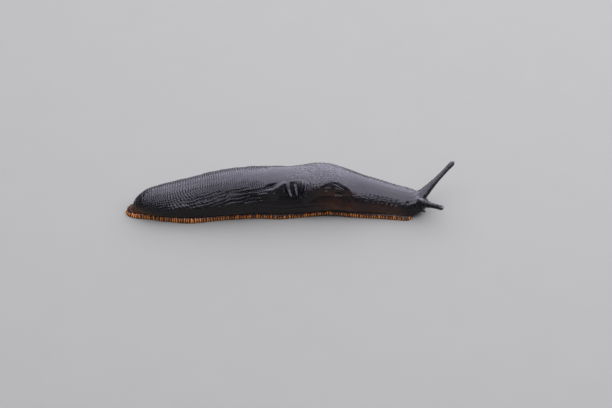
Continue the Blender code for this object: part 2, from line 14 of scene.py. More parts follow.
import bmesh
import bpy
import numpy as np
from bpy.props import FloatProperty, FloatVectorProperty, IntProperty, PointerProperty
from bpy.types import Operator, Panel, PropertyGroup
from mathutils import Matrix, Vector


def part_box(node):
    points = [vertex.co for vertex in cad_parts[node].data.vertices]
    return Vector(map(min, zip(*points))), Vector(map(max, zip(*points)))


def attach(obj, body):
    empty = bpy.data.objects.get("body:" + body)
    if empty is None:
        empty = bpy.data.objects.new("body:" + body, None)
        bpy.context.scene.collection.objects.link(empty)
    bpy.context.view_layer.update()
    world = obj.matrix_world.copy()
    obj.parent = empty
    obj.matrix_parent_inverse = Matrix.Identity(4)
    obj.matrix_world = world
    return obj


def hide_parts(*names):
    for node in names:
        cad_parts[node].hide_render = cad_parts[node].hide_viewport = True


bl_info = {
    "name": "Black Slug",
    "version": (1, 0, 0),
    "blender": (4, 5, 0),
    "location": "3D View > Sidebar > Slug",
    "description": "Builds the skin, mantle, foot fringe, sole and eyes of a crawling black slug",
    "category": "Add Mesh",
}

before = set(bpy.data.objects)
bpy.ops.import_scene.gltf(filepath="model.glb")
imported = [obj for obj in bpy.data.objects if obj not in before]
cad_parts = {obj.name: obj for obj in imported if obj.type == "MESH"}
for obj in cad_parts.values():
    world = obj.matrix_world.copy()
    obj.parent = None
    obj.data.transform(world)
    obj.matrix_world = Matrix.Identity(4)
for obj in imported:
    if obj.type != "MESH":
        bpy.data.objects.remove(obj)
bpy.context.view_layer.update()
MM = 0.001
BODY = "root"
SIDES = (("left", 1), ("right", -1))

# Plan of the body, as in the solids
GAP = 0.3
BODY_LENGTH = 120.0
TAIL_END = 2.8
TAIL_ROUNDING = 8.0
HEAD_ROUNDING = 7.5
SIDE_BEND = 5.9
BEND_SPAN = 127.0
BEND_SKEW = 1.25
HALF_WIDTH = ((0, 4.6), (5, 5.1), (9, 6.1), (14, 7.3), (20, 8.2), (30, 9.3), (50, 10.3), (72, 10.5),
              (88, 9.5), (100, 7.9), (111, 6.5), (120, 5.6))
BACK_HEIGHT = ((0, 9.0), (5, 9.5), (9, 10.2), (14, 11.05), (20, 12.0), (30, 14.0), (40, 15.8), (50, 16.4),
               (57, 16.1), (65, 15.0), (71, 15.8), (76, 16.9), (80, 17.0), (85, 15.8), (93, 13.3),
               (101, 11.3), (109, 9.3), (120, 7.8))
FOOT_HALF_WIDTH = ((0, 3.9), (4, 4.1), (8.5, 4.9), (15, 6.8), (22, 7.9), (40, 8.7), (60, 9.0), (78, 8.7),
                   (90, 8.5), (104, 8.0), (117, 7.4))
WIDEST_SHARE = 0.42
SECTION_POWER = 0.92
UPPER_SHARE = 0.72
GROOVE_INSET = 0.9
LEAST_LOW_EDGE = 0.5
FOOT_EDGE_LIMIT = 3.0
SHARE_LENGTH = 22.0

# Foot, as in the solids
FOOT_LENGTH = 117.0
FOOT_HEIGHT = 2.2
FOOT_TAIL_ROUNDING = 6.0
FOOT_FRONT_ROUNDING = 4.0
FRINGE_DEPTH = 1.1
FRINGE_TAIL_TAPER = 6.0
FRINGE_TAIL_HEIGHT = 0.7
FRINGE_FRONT_TAPER = 9.0
FRINGE_FRONT_HEIGHT = 0.6
FRINGE_TAIL_TURN = 0.02
FRINGE_FRONT_TURN = 0.25
RIGHT_LIFTS = ((83.0, 1.2, 8.0), (50.0, 0.4, 6.0))
LEFT_LIFTS = ((40.0, 0.5, 7.0), (71.0, 0.8, 8.0), (101.0, 0.3, 5.0))
RIGHT_BULGES = ((26.0, 1.1, 8.0), (62.0, 0.9, 7.0))
LEFT_BULGES = ((2.0, -1.2, 3.0), (18.0, 0.4, 7.0), (47.0, 0.8, 8.0), (84.0, 0.7, 9.0))

# Mantle and pore, as in the solids but for the height of the pore's rim
MANTLE_CENTRE = 77.1
MANTLE_HALF_LENGTH = 20.9
MANTLE_HALF_ANGLE = 68.0
MANTLE_CORNER_POWER = 0.84
MANTLE_RISE = 0.75
MANTLE_DEPTH = 0.9
MANTLE_EDGE_POWER = 8
PORE_PLACE = 85.4
PORE_ANGLE = -57.0
PORE_HALF_LENGTH = 1.5
PORE_HALF_HEIGHT = 1.05
PORE_DEPTH = 1.0
PORE_RIM = 0.18

# Head. The lips are fuller than the solids' own, and the brows behind the tentacles are the skin's alone.
HEAD_CENTRE_HEIGHT = 4.0
LIP_CENTRE = (118.2, 1.2, 2.7)  # place, distance from the midline and height
LIP_RADII = (2.0, 1.9, 1.8)
BROW_CENTRE = (116.2, 2.3, 5.2)
BROW_RADII = (3.4, 2.4, 2.2)

# Tentacles, as in the solids: (side, spread from the head's axis, rise above level, length), root and
# (share of the length, radius) along each
UPPER_ROOT = (117.5, 1.75, 5.6)
LOWER_ROOT = (117.6, 2.6, 3.3)
UPPER_RADII = ((0, 2.4), (0.16, 2.05), (0.3, 1.62), (0.42, 1.36), (0.56, 1.12), (0.72, 1.0), (0.86, 0.98),
               (0.95, 1.08), (1, 1.02))
LOWER_RADII = ((0, 1.2), (0.45, 0.85), (0.7, 0.62), (0.88, 0.66), (1, 0.6))
TENTACLES = {
    "upper_left": ((1, 49.3, 27.1, 18.9), UPPER_ROOT, UPPER_RADII),
    "upper_right": ((-1, 47.9, 27.5, 16.3), UPPER_ROOT, UPPER_RADII),
    "lower_left": ((1, 26.0, -14.0, 3.0), LOWER_ROOT, LOWER_RADII),
    "lower_right": ((-1, 22.0, -12.0, 2.7), LOWER_ROOT, LOWER_RADII),
}
EYE_RADIUS = 0.45
EYE_SINK = 0.55

# Low cover over the tail of the foot, and how the skin ends below
TAIL_COVER_CENTRE = (6.9, 0.0, 1.5)
TAIL_COVER_RADII = (6.6, 3.6, 2.6)
SKIN_FLOOR = 0.5  # the skin ends this far over the floor, between the fringes
SKIRT_DEPTH = 1.1  # the skin goes on this far down inside the groove
SKIRT_FLOOR = 0.9  # but ends this far over the floor
MANTLE_BED = 0.6  # the skin lies this much deeper under the mantle

# Folds of the flanks: height (below 0 for a groove), half width, (place, share without its sign) along each
FOLD_END = 1.6  # length over which a fold fades at its ends
LEFT_SHARE = 0.3  # the left flank, on the outside of the bend, keeps this share of the right one's folds
FLANK_FOLDS = (
    (-0.72, 0.42, ((39.0, 0.368), (42.6, 0.378), (46.0, 0.385), (51.0, 0.372), (54.6, 0.350), (57.0, 0.310))),
    (-1.10, 0.72, ((55.0, 0.325), (56.8, 0.297), (59.6, 0.254), (61.5, 0.215))),
    (-0.40, 0.40, ((43.0, 0.462), (49.0, 0.455), (53.5, 0.440))),
    (0.66, 0.80, ((48.0, 0.420), (51.5, 0.415), (54.6, 0.400), (57.5, 0.360), (60.3, 0.310), (62.7, 0.250),
                  (64.5, 0.205))),
    (-0.25, 0.65, ((40.0, 0.530), (45.0, 0.535), (50.0, 0.530))),
    (0.70, 2.00, ((14.0, 0.565), (26.0, 0.550), (33.0, 0.500), (45.0, 0.470), (55.0, 0.450), (61.0, 0.420))),
    (-0.30, 0.40, ((36.0, 0.330), (43.0, 0.350), (49.0, 0.345))),
    (-0.30, 0.40, ((30.0, 0.420), (38.0, 0.450), (47.0, 0.440))),
)

# Ridges in the hollow round the breathing pore, in the same form
PORE_FOLDS = (
    (0.34, 0.26, ((82.0, 0.300), (84.0, 0.285), (86.5, 0.320), (88.5, 0.380))),
    (0.30, 0.24, ((83.0, 0.345), (85.0, 0.335), (87.0, 0.375))),
    (0.30, 0.24, ((78.5, 0.405), (81.0, 0.365), (83.5, 0.375))),
    (0.24, 0.24, ((76.5, 0.470), (79.5, 0.430), (82.0, 0.430))),
)

# Hollows in the flank, where the skin hangs slack: (place, share without its sign at which one starts)
SLACK_LINE = ((44.0, 0.430), (50.0, 0.420), (54.3, 0.450), (57.5, 0.390), (60.3, 0.335), (62.9, 0.255),
              (65.0, 0.200), (67.0, 0.185), (69.7, 0.215), (71.0, 0.275))
SLACK_DEPTH = 1.5
SLACK_REAR = (42.0, 57.5)  # places between which it deepens
SLACK_FRONT = (71.8, 70.2)  # places between which it ends
SLACK_LEFT_FRONT = (77.0, 60.0)  # the same on the left
SLACK_FOOT = (0.95, 0.58)  # shares of the skin between which it comes back out
# The one round the breathing pore, on the right side only
PORE_LINE = ((71.2, 0.495), (74.5, 0.430), (77.8, 0.357), (81.0, 0.270), (83.0, 0.225), (85.0, 0.215),
             (87.2, 0.250), (89.0, 0.280), (90.3, 0.340), (90.9, 0.420), (91.0, 0.500))
PORE_HOLLOW_DEPTH = 1.6
PORE_HOLLOW_PLACES = (70.0, 71.5, 91.0, 92.4)
PORE_HOLLOW_FOOT = (0.88, 0.52)
HOLLOW_SLOPE = 5.5  # skin from a hollow's start down to its full depth

# Hanging folds in the first hollow, like drapery: height at the foot, half width, (share, place) along each
DRAPE_FOLDS = (
    (2.00, 0.92, ((0.19, 64.3), (0.35, 65.2), (0.51, 66.3))),
    (1.70, 0.66, ((0.23, 67.6), (0.49, 68.5))),
    (1.40, 0.56, ((0.18, 70.8), (0.41, 70.1))),
    (1.00, 0.42, ((0.21, 72.2), (0.42, 71.5))),
    (1.20, 0.50, ((0.26, 62.6), (0.42, 63.6))),
    (1.00, 0.45, ((0.30, 61.2), (0.44, 61.3))),
    (0.55, 0.40, ((0.34, 60.2), (0.46, 58.8))),
    (0.60, 0.30, ((0.25, 73.2), (0.42, 72.4))),
    (0.60, 0.30, ((0.24, 74.3), (0.42, 73.9))),
    (0.50, 0.30, ((0.24, 75.4), (0.40, 75.5))),
    (0.40, 0.30, ((0.26, 76.4), (0.37, 76.9))),
)

# The dip behind the hump of the back is filled a little
SADDLE_PLACE = 66.5
SADDLE_REACH = 4.6
SADDLE_HEIGHT = 0.75
SADDLE_SHARES = (0.34, 0.12)

# Smaller folds. Of four places or shares, they start at the first, are full from the second to the third and
# end at the fourth. Of two, they start at the first and are full from the second.
NECK_WRINKLE_PLACES = (93.0, 98.0, 108.5, 111.5)
NECK_WRINKLE_SHARES = (0.27, 0.36, 0.48, 0.60)
NECK_WRINKLE_PITCH = 1.75
NECK_WRINKLE_DEPTH = 0.48
TWIN_FURROW_PLACES = (99.0, 102.0, 113.0, 117.0)
TWIN_FURROW_SIDE = 1.15
TWIN_FURROW_WIDTH = 0.42
TWIN_FURROW_DEPTH = 0.04
FACE_CREASE_PLACE = 113.4
FACE_CREASE_SHARES = (0.30, 0.38, 0.55, 0.80)
FACE_CREASE_WIDTH = 0.5
FACE_CREASE_DEPTH = 0.45
LOW_WAVE_PLACES = (14.0, 30.0, 100.0, 112.0)
LOW_WAVE_SHARES = (0.62, 0.72)
LOW_WAVE_PITCH = 2.3
LOW_WAVE_DEPTH = 0.16

# Tubercles. They grow from the first to the second of two places or shares.
ROW_SLANT = 0.0064  # share of the skin by which the rows sink for each millimetre towards the tail
BACK_PEAK = 50.0  # place where the rows are counted from groove to groove
TUBERCLES_TAIL = (TAIL_END + 4, TAIL_END + 16)
TUBERCLES_FRONT = (64.0, 52.0)
TUBERCLES_NECK = (110.0, 98.0)
TUBERCLES_TOP = (0.20, 0.38)
TUBERCLES_FOOT = (0.74, 0.60)
SMOOTHER_PLACES = (53.0, 60.0, 95.0, 112.0)  # they stay low between these, on the slack skin and the neck
TAIL_CELL = 1.4  # width of the irregular cells over the tail's tip
TAIL_CELL_DEPTH = 0.2
TAIL_CELL_PLACES = (17.0, 11.0)

# Fine cross strokes of the skin: how far they lean, as (place, millimetres along for one millimetre down)
STROKE_LEAN = ((10.0, 0.0), (17.0, 0.05), (24.0, 0.35), (30.0, 0.8), (36.0, 1.2), (42.0, 1.0), (48.0, 0.3),
               (56.0, 0.0))
STROKE_ZERO = 4.4  # millimetres down from the top where a stroke starts to lean
STROKE_PLACES = (TAIL_END + 3, TAIL_END + 9, 52.0, 60.0)
STROKES_FOOT = (0.66, 0.52)
NECK_STROKE_PLACES = (98.0, 101.0, 108.0, 111.0)
NECK_STROKE_SHARES = (0.25, 0.32, 0.42, 0.50)
STAGGER_SHARES = (0.30, 0.40)  # between these the strokes come to be parted into staggered beads
STAGGER_PLACES = (20.0, 32.0)
RING_PITCH = 0.8  # of the rings round a tentacle
RINGS_START = 0.2  # share of a tentacle's length where its rings start
RING_SWELL_PITCH = 1.1
RING_SWELL = 0.035

# Where brown shows, and where the mantle is grained and speckled paler: the paler specks are partly its own
# grey and partly a painted sheen on its lit top
BROWN_SHARES = (0.42, 0.80)
BROWN_PLACES = (70.0, 88.0)
BROWN_FACE = (115.0, 108.0)
BROWN_TAIL = (16.0, 8.0)
MANTLE_GRAIN_PLACES = (63.0, 69.0, 82.0, 90.0)
# Paler specks on the mantle's top: partly its own grey, partly a painted sheen where the overhead light falls
MANTLE_PALE_SHEEN_PLACES = (60.0, 75.0, 82.0, 96.0)
MANTLE_PALE_SHEEN_SHARES = (0.36, 0.14)

# Arcs like a fingerprint on the mantle's right rear: their centre, as the place and the millimetres round the
# skin from the top, their spacing, the distances from the centre over which they fade, and their height
ARCS_CENTRE = (71.8, -9.4, 0.0)
ARCS_PITCH = 0.92
ARCS_FADE = (3.2, 6.2)
ARCS_HEIGHT = 0.20

# Fringe and beads
FOOT_STEP = 0.4  # between the sections of the strip
# Section of the strip behind the ribs, and of a rib's crown: (out from the edge, share of the height)
STRIP_SECTION = ((-FRINGE_DEPTH - 0.3, 0.02), (-0.45, 0.0), (-0.26, 0.14), (-0.45, 0.55), (-0.8, 0.86),
                 (-FRINGE_DEPTH - 0.1, 0.96), (-FRINGE_DEPTH - 0.5, 0.96))
RIB_CROWN = ((-0.30, 0.03), (-0.05, 0.13), (0.02, 0.28), (-0.08, 0.50), (-0.30, 0.72), (-0.62, 0.90),
             (-0.95, 0.99))
RIB_NARROWING = (0.70, 0.95, 1.0, 1.0, 0.96, 0.88, 0.7)  # share of the rib's width at each of these
RIB_FILL = 0.74  # share of the spacing that a rib fills
RIB_LEAN = 0.17
BEAD_ROWS = ((0.985, 6.0, 112.0), (0.94, 78.0, 102.0), (0.89, 83.0, 97.0))  # share of the skin, start and end
BEAD_SINK = 0.1
BEAD_LEAN = 0.3
SOLE_THICKNESS = 1.6
SOLE_RISE = 1.5  # millimetres in from its edge over which the sole rises by one
SOLE_FURROW = 0.12
BEAD_RADII = (0.42, 0.26, 0.34)

# The photograph's view: its frame, the pixel that shows the tail tip, and the millimetres in a pixel there
PHOTO_SIZE = (612, 408)
TAIL_TIP_PIXEL = (127, 213)
MM_PER_PIXEL = 0.403
VIEW_ELEVATION = 40.0
LENS_MM = 100.0
SENSOR_MM = 36.0

# The soft light is a level sheet over the slug: its edges along X and along Y in metres, and its height
SKY_ACROSS = (-0.55, 1.0)
SKY_REACH = (-0.42, 4.0)
SKY_HEIGHT = 0.45
SKY_COLOUR = (0.83, 0.81, 1.0)
FILL_COLOUR = (0.92, 0.95, 1.0, 1.0)

# Floor: half its width in metres, and how bright its darker patches are
FLOOR_REACH = 3.0
FLOOR_MOTTLE = 0.96

# Finishes. The height and the depths are of bumps, in millimetres.
WET_IOR = 1.34
FINEST_HEIGHT = 0.025
SKIN_GRAIN_DEPTH = 0.05
MANTLE_GRAIN_DEPTH = 0.07
LEAST_GRAIN_DEPTH = 0.02
# Painted shade on the ribs' tops, under the flank's overhang:
RIB_TOP_SHADE_PLACES = (1.0, 71.0)  # between these the ribs' dark top comes to reach further down
EYE_COLOURS = ((0.002, 0.002, 0.003, 1.0), (0.010, 0.006, 0.006, 1.0))

# What the properties of one kind have in common
LENGTH = {"subtype": "DISTANCE", "unit": "LENGTH", "precision": 5}
COLOUR = {"subtype": "COLOR", "min": 0.0, "max": 1.0}


class SlugSkinSizes(PropertyGroup):
    """Sizes of the skin of the body, head and tentacles."""

    mesh_step: FloatProperty(name="Mesh Step", description="Size of the skin's faces", default=0.0003,
                             **LENGTH)
    tubercle_length: FloatProperty(name="Tubercle Length", description="Length of a tubercle along the body",
                                   default=0.0036, **LENGTH)
    tubercle_rows: IntProperty(name="Tubercle Rows", description="Rows of tubercles from groove to groove",
                               default=30)
    tubercle_height: FloatProperty(name="Tubercle Height", description="Height above the furrows",
                                   default=0.00038, **LENGTH)
    wrinkle_pitch: FloatProperty(name="Wrinkle Pitch", description="Spacing of the fine cross strokes",
                                 default=0.00092, **LENGTH)
    wrinkle_height: FloatProperty(name="Wrinkle Height", description="Height of the fine cross strokes",
                                  default=0.00030, **LENGTH)
    seed: IntProperty(name="Seed", description="Seed of the skin's irregular forms", default=11)


class SlugMantleSizes(PropertyGroup):
    """Sizes of the mantle's surface."""

    grain_size: FloatProperty(name="Grain Size", description="Width of the mantle's grains", default=0.00115,
                              **LENGTH)
    grain_height: FloatProperty(name="Grain Height", description="Height of the mantle's grains",
                                default=0.00011, **LENGTH)
    seed: IntProperty(name="Seed", description="Seed of the grains", default=23)


class SlugFringeSizes(PropertyGroup):
    """Sizes of the foot fringe's ribs and of the beads above it."""

    rib_pitch: FloatProperty(name="Rib Pitch", description="Spacing of the ribs", default=0.00094, **LENGTH)
    bead_pitch: FloatProperty(name="Bead Pitch", description="Spacing of the beads above the fringe",
                              default=0.0009, **LENGTH)
    variation: FloatProperty(name="Variation", description="How much sizes differ", default=0.14,
                             subtype="FACTOR", min=0.0, max=1.0)
    seed: IntProperty(name="Seed", description="Seed of the differences", default=5)


class SlugColours(PropertyGroup):
    """Colours of the slug."""

    skin: FloatVectorProperty(name="Skin", description="Black of the back and sides",
                              default=(0.0042, 0.0038, 0.0042), **COLOUR)
    brown: FloatVectorProperty(name="Brown", description="Brown that shows low on the flanks",
                               default=(0.038, 0.0145, 0.0055), **COLOUR)
    # Paler specks on the mantle's top: partly its own grey, partly a painted sheen where the light falls from
    # above
    mantle: FloatVectorProperty(name="Mantle", description="Paler specks of the mantle's middle",
                                default=(0.036, 0.033, 0.034), **COLOUR)
    tip: FloatVectorProperty(name="Tip", description="Tips of the tentacles", default=(0.020, 0.013, 0.012),
                             **COLOUR)
    fringe_light: FloatVectorProperty(name="Fringe Light", description="Crowns of the ribs",
                                      default=(0.50, 0.165, 0.026), **COLOUR)
    # Dark of the bars between the ribs, which also paints the shade on the ribs' tops under the flank's
    # overhang
    fringe_bars_and_shade: FloatVectorProperty(name="Fringe Dark", description="Bars between the ribs",
                                     default=(0.020, 0.009, 0.005), **COLOUR)
    sole: FloatVectorProperty(name="Sole", description="Skin of the sole", default=(0.23, 0.18, 0.14),
                              **COLOUR)


class SlugStage(PropertyGroup):
    """Floor and light of the studio."""

    floor: FloatVectorProperty(name="Floor", description="Colour of the floor", default=(0.148, 0.151, 0.126),
                               **COLOUR)
    sky_radiance: FloatProperty(name="Sky Radiance", description="Brightness of the soft light overhead",
                                default=5.75)
    fill: FloatProperty(name="Fill", description="Strength of the light from all round", default=0.055)


def smooth_curve(stations, place):
    """Values on a smooth curve through the stations that never overshoots them."""
    xs, ys = np.array(stations, float).T
    steps = np.diff(xs)
    slopes = np.diff(ys) / steps
    ends = np.zeros(len(xs))
    ends[0], ends[-1] = slopes[0], slopes[-1]
    for i in range(1, len(xs) - 1):
        before, after = slopes[i - 1], slopes[i]
        if before * after > 0:
            w_before = 2 * steps[i] + steps[i - 1]
            w_after = steps[i] + 2 * steps[i - 1]
            ends[i] = (w_before + w_after) / (w_before / before + w_after / after)
    place = np.clip(place, xs[0], xs[-1])
    i = np.clip(np.searchsorted(xs, place) - 1, 0, len(steps) - 1)
    t = (place - xs[i]) / steps[i]
    rise = ys[i + 1] - ys[i]
    lead, trail = ends[i] * steps[i], ends[i + 1] * steps[i]
    return ys[i] + t * (lead + t * (3 * rise - 2 * lead - trail + t * (lead + trail - 2 * rise)))


def ease(value, start, end, least=0.0):
    """least before start, 1 past end, and a smooth step between them. end may be the smaller one."""
    t = np.clip((np.asarray(value, float) - start) / (end - start), 0, 1)
    return least + (1 - least) * t * t * (3 - 2 * t)


def band(value, start, full, fade, end):
    """0 outside start and end, 1 from full to fade, and smooth steps between."""
    return ease(value, start, full) * ease(value, end, fade)


def hump(value, centre, reach):
    """1 at the centre, and nearly 0 from about twice the reach."""
    return np.exp(-(((np.asarray(value, float) - centre) / reach) ** 2))


def rounding(distance, reach):
    """0 at an end, 1 from reach onwards, as a quarter of an ellipse."""
    t = np.clip(np.asarray(distance, float) / reach, 0, 1)
    return np.sqrt(np.clip(1 - (1 - t) ** 2, 0, 1))


def midline(place):
    """Sideways place of the midline and its heading."""
    q = (np.maximum(place, 0) / BEND_SPAN) ** BEND_SKEW
    side = SIDE_BEND * np.sin(math.pi * q)
    q_slope = BEND_SKEW * q / np.maximum(place, 1e-6)
    heading = np.arctan(SIDE_BEND * math.pi * np.cos(math.pi * q) * q_slope)
    return side, heading


def on_plan(place, across, height):
    """Points from body places, as an array whose last axis is x, y, z."""
    side, heading = midline(place)
    x = place - across * np.sin(heading)
    y = side + across * np.cos(heading)
    return np.stack(np.broadcast_arrays(x, y, height), axis=-1)


def humps_of_side(place, side, left_humps, right_humps):
    """Sum of one side's smooth humps, each given as (place, height, half length)."""
    left = sum(h * hump(place, p, r) for p, h, r in left_humps)
    right = sum(h * hump(place, p, r) for p, h, r in right_humps)
    return np.where(np.asarray(side) > 0, left, right)


def foot_edge(place, side):
    """How far one edge of the foot lies from the midline."""
    ends = rounding(place, FOOT_TAIL_ROUNDING) * rounding(FOOT_LENGTH - place, FOOT_FRONT_ROUNDING)
    width = smooth_curve(FOOT_HALF_WIDTH, place) + humps_of_side(place, side, LEFT_BULGES, RIGHT_BULGES)
    return width * ends


def edge_lift(place, side):
    """How far the foot's edge stands off the floor on one side."""
    return humps_of_side(place, side, LEFT_LIFTS, RIGHT_LIFTS)


def section_sizes(place, side):
    """Half width, top, height of the widest place, and the lower edge of the body's section."""
    wide = smooth_curve(HALF_WIDTH, place)
    top = smooth_curve(BACK_HEIGHT, place)
    low = FOOT_HEIGHT + GAP + edge_lift(place, side)
    low_edge = foot_edge(np.minimum(place, FOOT_LENGTH - FOOT_EDGE_LIMIT), side) - GROOVE_INSET
    return wide, top, top * WIDEST_SHARE, low, np.maximum(low_edge, LEAST_LOW_EDGE)


def end_scales(place):
    """How much the rounded tail and face draw the section in."""
    return rounding(place - TAIL_END, TAIL_ROUNDING), rounding(BODY_LENGTH - place, HEAD_ROUNDING)


def body_section(place, share, offset=0.0):
    """Across and height of a point on the skin. offset moves it out of the section's outline."""
    place, share, offset = np.broadcast_arrays(*(np.asarray(v, float) for v in (place, share, offset)))
    wide, top, middle, low, low_edge = section_sizes(place, share)

    def outline(share):
        part = np.abs(share)
        upper = np.radians(90 * np.minimum(part / UPPER_SHARE, 1))
        lower = np.radians(90 * np.clip((part - UPPER_SHARE) / (1 - UPPER_SHARE), 0, 1))
        across = np.where(part <= UPPER_SHARE, wide * np.sin(upper) ** SECTION_POWER,
                          low_edge + (wide - low_edge) * np.cos(lower))
        height = np.where(part <= UPPER_SHARE, middle + (top - middle) * np.cos(upper) ** SECTION_POWER,
                          middle - (middle - low) * np.sin(lower))
        return across * np.sign(share), height

    step = 0.004
    across, height = outline(share)
    a0, h0 = outline(np.maximum(share - step, -1))
    a1, h1 = outline(np.minimum(share + step, 1))
    length = np.hypot(a1 - a0, h1 - h0) + 1e-9
    across = across - offset * (h1 - h0) / length
    height = height + offset * (a1 - a0) / length
    tail, head = end_scales(place)
    across = across * tail * head
    height = low + (height - low) * tail
    height = HEAD_CENTRE_HEIGHT + (height - HEAD_CENTRE_HEIGHT) * head
    return across, height


def body_point(place, share, offset=0.0):
    """The same point on the plan."""
    across, height = body_section(place, share, offset)
    return on_plan(place, across, height)


def plan_of(points):
    """Place along the body, distance across and share of the skin of points near it."""
    place = points[:, 0].copy()
    for _ in range(8):
        side, heading = midline(place)
        dx, dy = points[:, 0] - place, points[:, 1] - side
        place = place + dx * np.cos(heading) + dy * np.sin(heading)
    side, heading = midline(place)
    across = (points[:, 1] - side) * np.cos(heading) - (points[:, 0] - place) * np.sin(heading)
    inside = np.clip(place, TAIL_END + 0.3, BODY_LENGTH - 0.3)
    wide, top, middle, low, low_edge = section_sizes(inside, across)
    tail, head = end_scales(inside)
    height = HEAD_CENTRE_HEIGHT + (points[:, 2] - HEAD_CENTRE_HEIGHT) / head
    height = low + (height - low) / tail
    out = np.abs(across) / (tail * head)
    power = 1 / SECTION_POWER
    upper = np.arctan2(np.clip(out / wide, 0, None) ** power,
                       np.clip((height - middle) / (top - middle), 0, None) ** power)
    lower = np.arctan2(np.clip((middle - height) / (middle - low), 0, None),
                       np.clip((out - low_edge) / (wide - low_edge), 1e-3, None))
    part = np.where(height > middle, UPPER_SHARE * upper / (math.pi / 2),
                    UPPER_SHARE + (1 - UPPER_SHARE) * lower / (math.pi / 2))
    return place, across, part * np.sign(across)


def stalk_way(kind):
    """Direction of a tentacle."""
    side, spread, rise, _ = kind
    turn = float(midline(BODY_LENGTH)[1]) + side * math.radians(spread)
    rise = math.radians(rise)
    return np.array([math.cos(turn) * math.cos(rise), math.sin(turn) * math.cos(rise), math.sin(rise)])


def stalk_start(kind, root):
    """Middle of a tentacle's root."""
    place, across, height = root
    return on_plan(place, kind[0] * across, height)


def eye_centre(name):
    """Centre of the left or the right eye, which looks out of the tip of its tentacle."""
    kind, root, radii = TENTACLES["upper_" + name]
    reach = kind[3] + radii[-1][1] - EYE_RADIUS * EYE_SINK
    return stalk_start(kind, root) + stalk_way(kind) * reach


def frame_shift():
    """From the plan's origin to the solids' origin, read off the left eye."""
    low, high = (np.array(corner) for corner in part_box("eye_left"))
    return (low + high) / (2 * MM) - eye_centre("left")


SHIFT = frame_shift()


def in_frame(points):
    """Points of the plan, in metres in the solids' frame."""
    return (np.asarray(points, float) + SHIFT) * MM


def linked(name, data):
    """An object with this data, in the scene."""
    made = bpy.data.objects.new(name, data)
    bpy.context.scene.collection.objects.link(made)
    return made


def closed_mesh(name, points, faces):
    """An object from points in metres, with its faces turned outwards and shaded smooth."""
    mesh = bpy.data.meshes.new(name)
    mesh.from_pydata(points, [], faces)
    work = bmesh.new()
    work.from_mesh(mesh)
    bmesh.ops.recalc_face_normals(work, faces=work.faces)
    work.to_mesh(mesh)
    work.free()
    mesh.shade_smooth()
    return linked(name, mesh)


def make_mesh(name, points, faces):
    """An object from points of the plan."""
    return closed_mesh(name, in_frame(points).tolist(), faces)


def settle(made, modifier):
    """Turns what the modifier makes into the object's own plain mesh."""
    shown = made.evaluated_get(bpy.context.evaluated_depsgraph_get())
    mesh = bpy.data.meshes.new_from_object(shown)
    made.modifiers.remove(modifier)
    made.data = mesh


def tube_faces(rings, count):
    """Faces between each ring of points and the next one."""
    faces = []
    for start in range(0, (rings - 1) * count, count):
        for k in range(count):
            a, b = start + k, start + (k + 1) % count
            faces.append((a, b, b + count, a + count))
    return faces


def loft(rings, first, last):
    """Points and faces of a closed tube through rings, with a point that closes each end."""
    count = len(rings[0])
    points = [p for ring in rings for p in ring]
    faces = tube_faces(len(rings), count)
    for base, tip in ((0, first), ((len(rings) - 1) * count, last)):
        points.append(tip)
        faces += [(base + k, base + (k + 1) % count, len(points) - 1) for k in range(count)]
    return np.array(points), faces


def plan_points(made):
    """A mesh's points, back on the plan in millimetres."""
    flat = np.zeros(len(made.data.vertices) * 3)
    made.data.vertices.foreach_get("co", flat)
    return flat.reshape(-1, 3) / MM - SHIFT


def mesh_normals(made):
    """The way out of the mesh at each point."""
    flat = np.zeros(len(made.data.vertices) * 3)
    made.data.vertices.foreach_get("normal", flat)
    return flat.reshape(-1, 3)


def place_points(made, points):
    """Moves a mesh's points to these points of the plan."""
    made.data.vertices.foreach_set("co", in_frame(points).ravel())
    made.data.update()


def keep_values(made, **values):
    """Stores numbers or vectors of each point as attributes that the materials read."""
    for name, value in values.items():
        kind, key = ("FLOAT_VECTOR", "vector") if value.ndim == 2 else ("FLOAT", "value")
        flat = np.ascontiguousarray(value.ravel())
        made.data.attributes.new(name, kind, "POINT").data.foreach_set(key, flat)


def finish_piece(made, slot, material, *nodes):
    """Gives a piece its material and its body, and hides the solids that it stands for. The slot is not used.
    """
    if material is not None:
        made.data.materials.clear()
        made.data.materials.append(material)
    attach(made, BODY)
    if nodes:
        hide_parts(*nodes)
    return made


def cells(u, v, seed, spread_u=0.9, spread_v=0.6):
    """Distance to the nearest of scattered points, and how much further the next one is.

    One point lies in each square of the u, v grid, and every other row is set off by half a square."""
    size = 64
    draw = np.random.default_rng(seed).uniform(-0.5, 0.5, (size, size, 2)) * (spread_u, spread_v)
    near = np.full(u.shape, 9.0)
    after = near.copy()
    row = np.floor(v)
    for dv in (-1, 0, 1):
        line = row + dv
        offset = 0.5 * (line % 2)
        column = np.floor(u - offset)
        for du in (-1, 0, 1):
            spot = draw[(column + du).astype(int) % size, line.astype(int) % size]
            far = np.hypot(column + du + offset + 0.5 + spot[:, 0] - u, line + 0.5 + spot[:, 1] - v)
            after = np.where(far < near, near, np.minimum(after, far))
            near = np.minimum(near, far)
    return near, after - near


def ripple(u, v, seed, waves=7, finest=1.0):
    """A smooth irregular height between about -1 and 1."""
    draw = np.random.default_rng(seed)
    total = np.zeros_like(u)
    for _ in range(waves):
        turn, phase = draw.uniform(0, 2 * math.pi, 2)
        rate = finest * draw.uniform(0.35, 1.0)
        total = total + np.sin(rate * (u * math.cos(turn) + v * math.sin(turn)) + phase)
    return total / math.sqrt(waves)


def relaxed(made, points, weight, rounds):
    """Draws each point towards the middle of its neighbours."""
    edges = np.zeros(len(made.data.edges) * 2, np.int32)
    made.data.edges.foreach_get("vertices", edges)
    first, second = edges.reshape(-1, 2).T
    count = np.maximum(np.bincount(edges, minlength=len(points)), 1)
    for _ in range(rounds):
        pull = np.empty_like(points)
        for k in range(3):
            total = np.bincount(first, points[second, k], len(points))
            total += np.bincount(second, points[first, k], len(points))
            pull[:, k] = total / count - points[:, k]
        points = points + weight[:, None] * pull
    return points


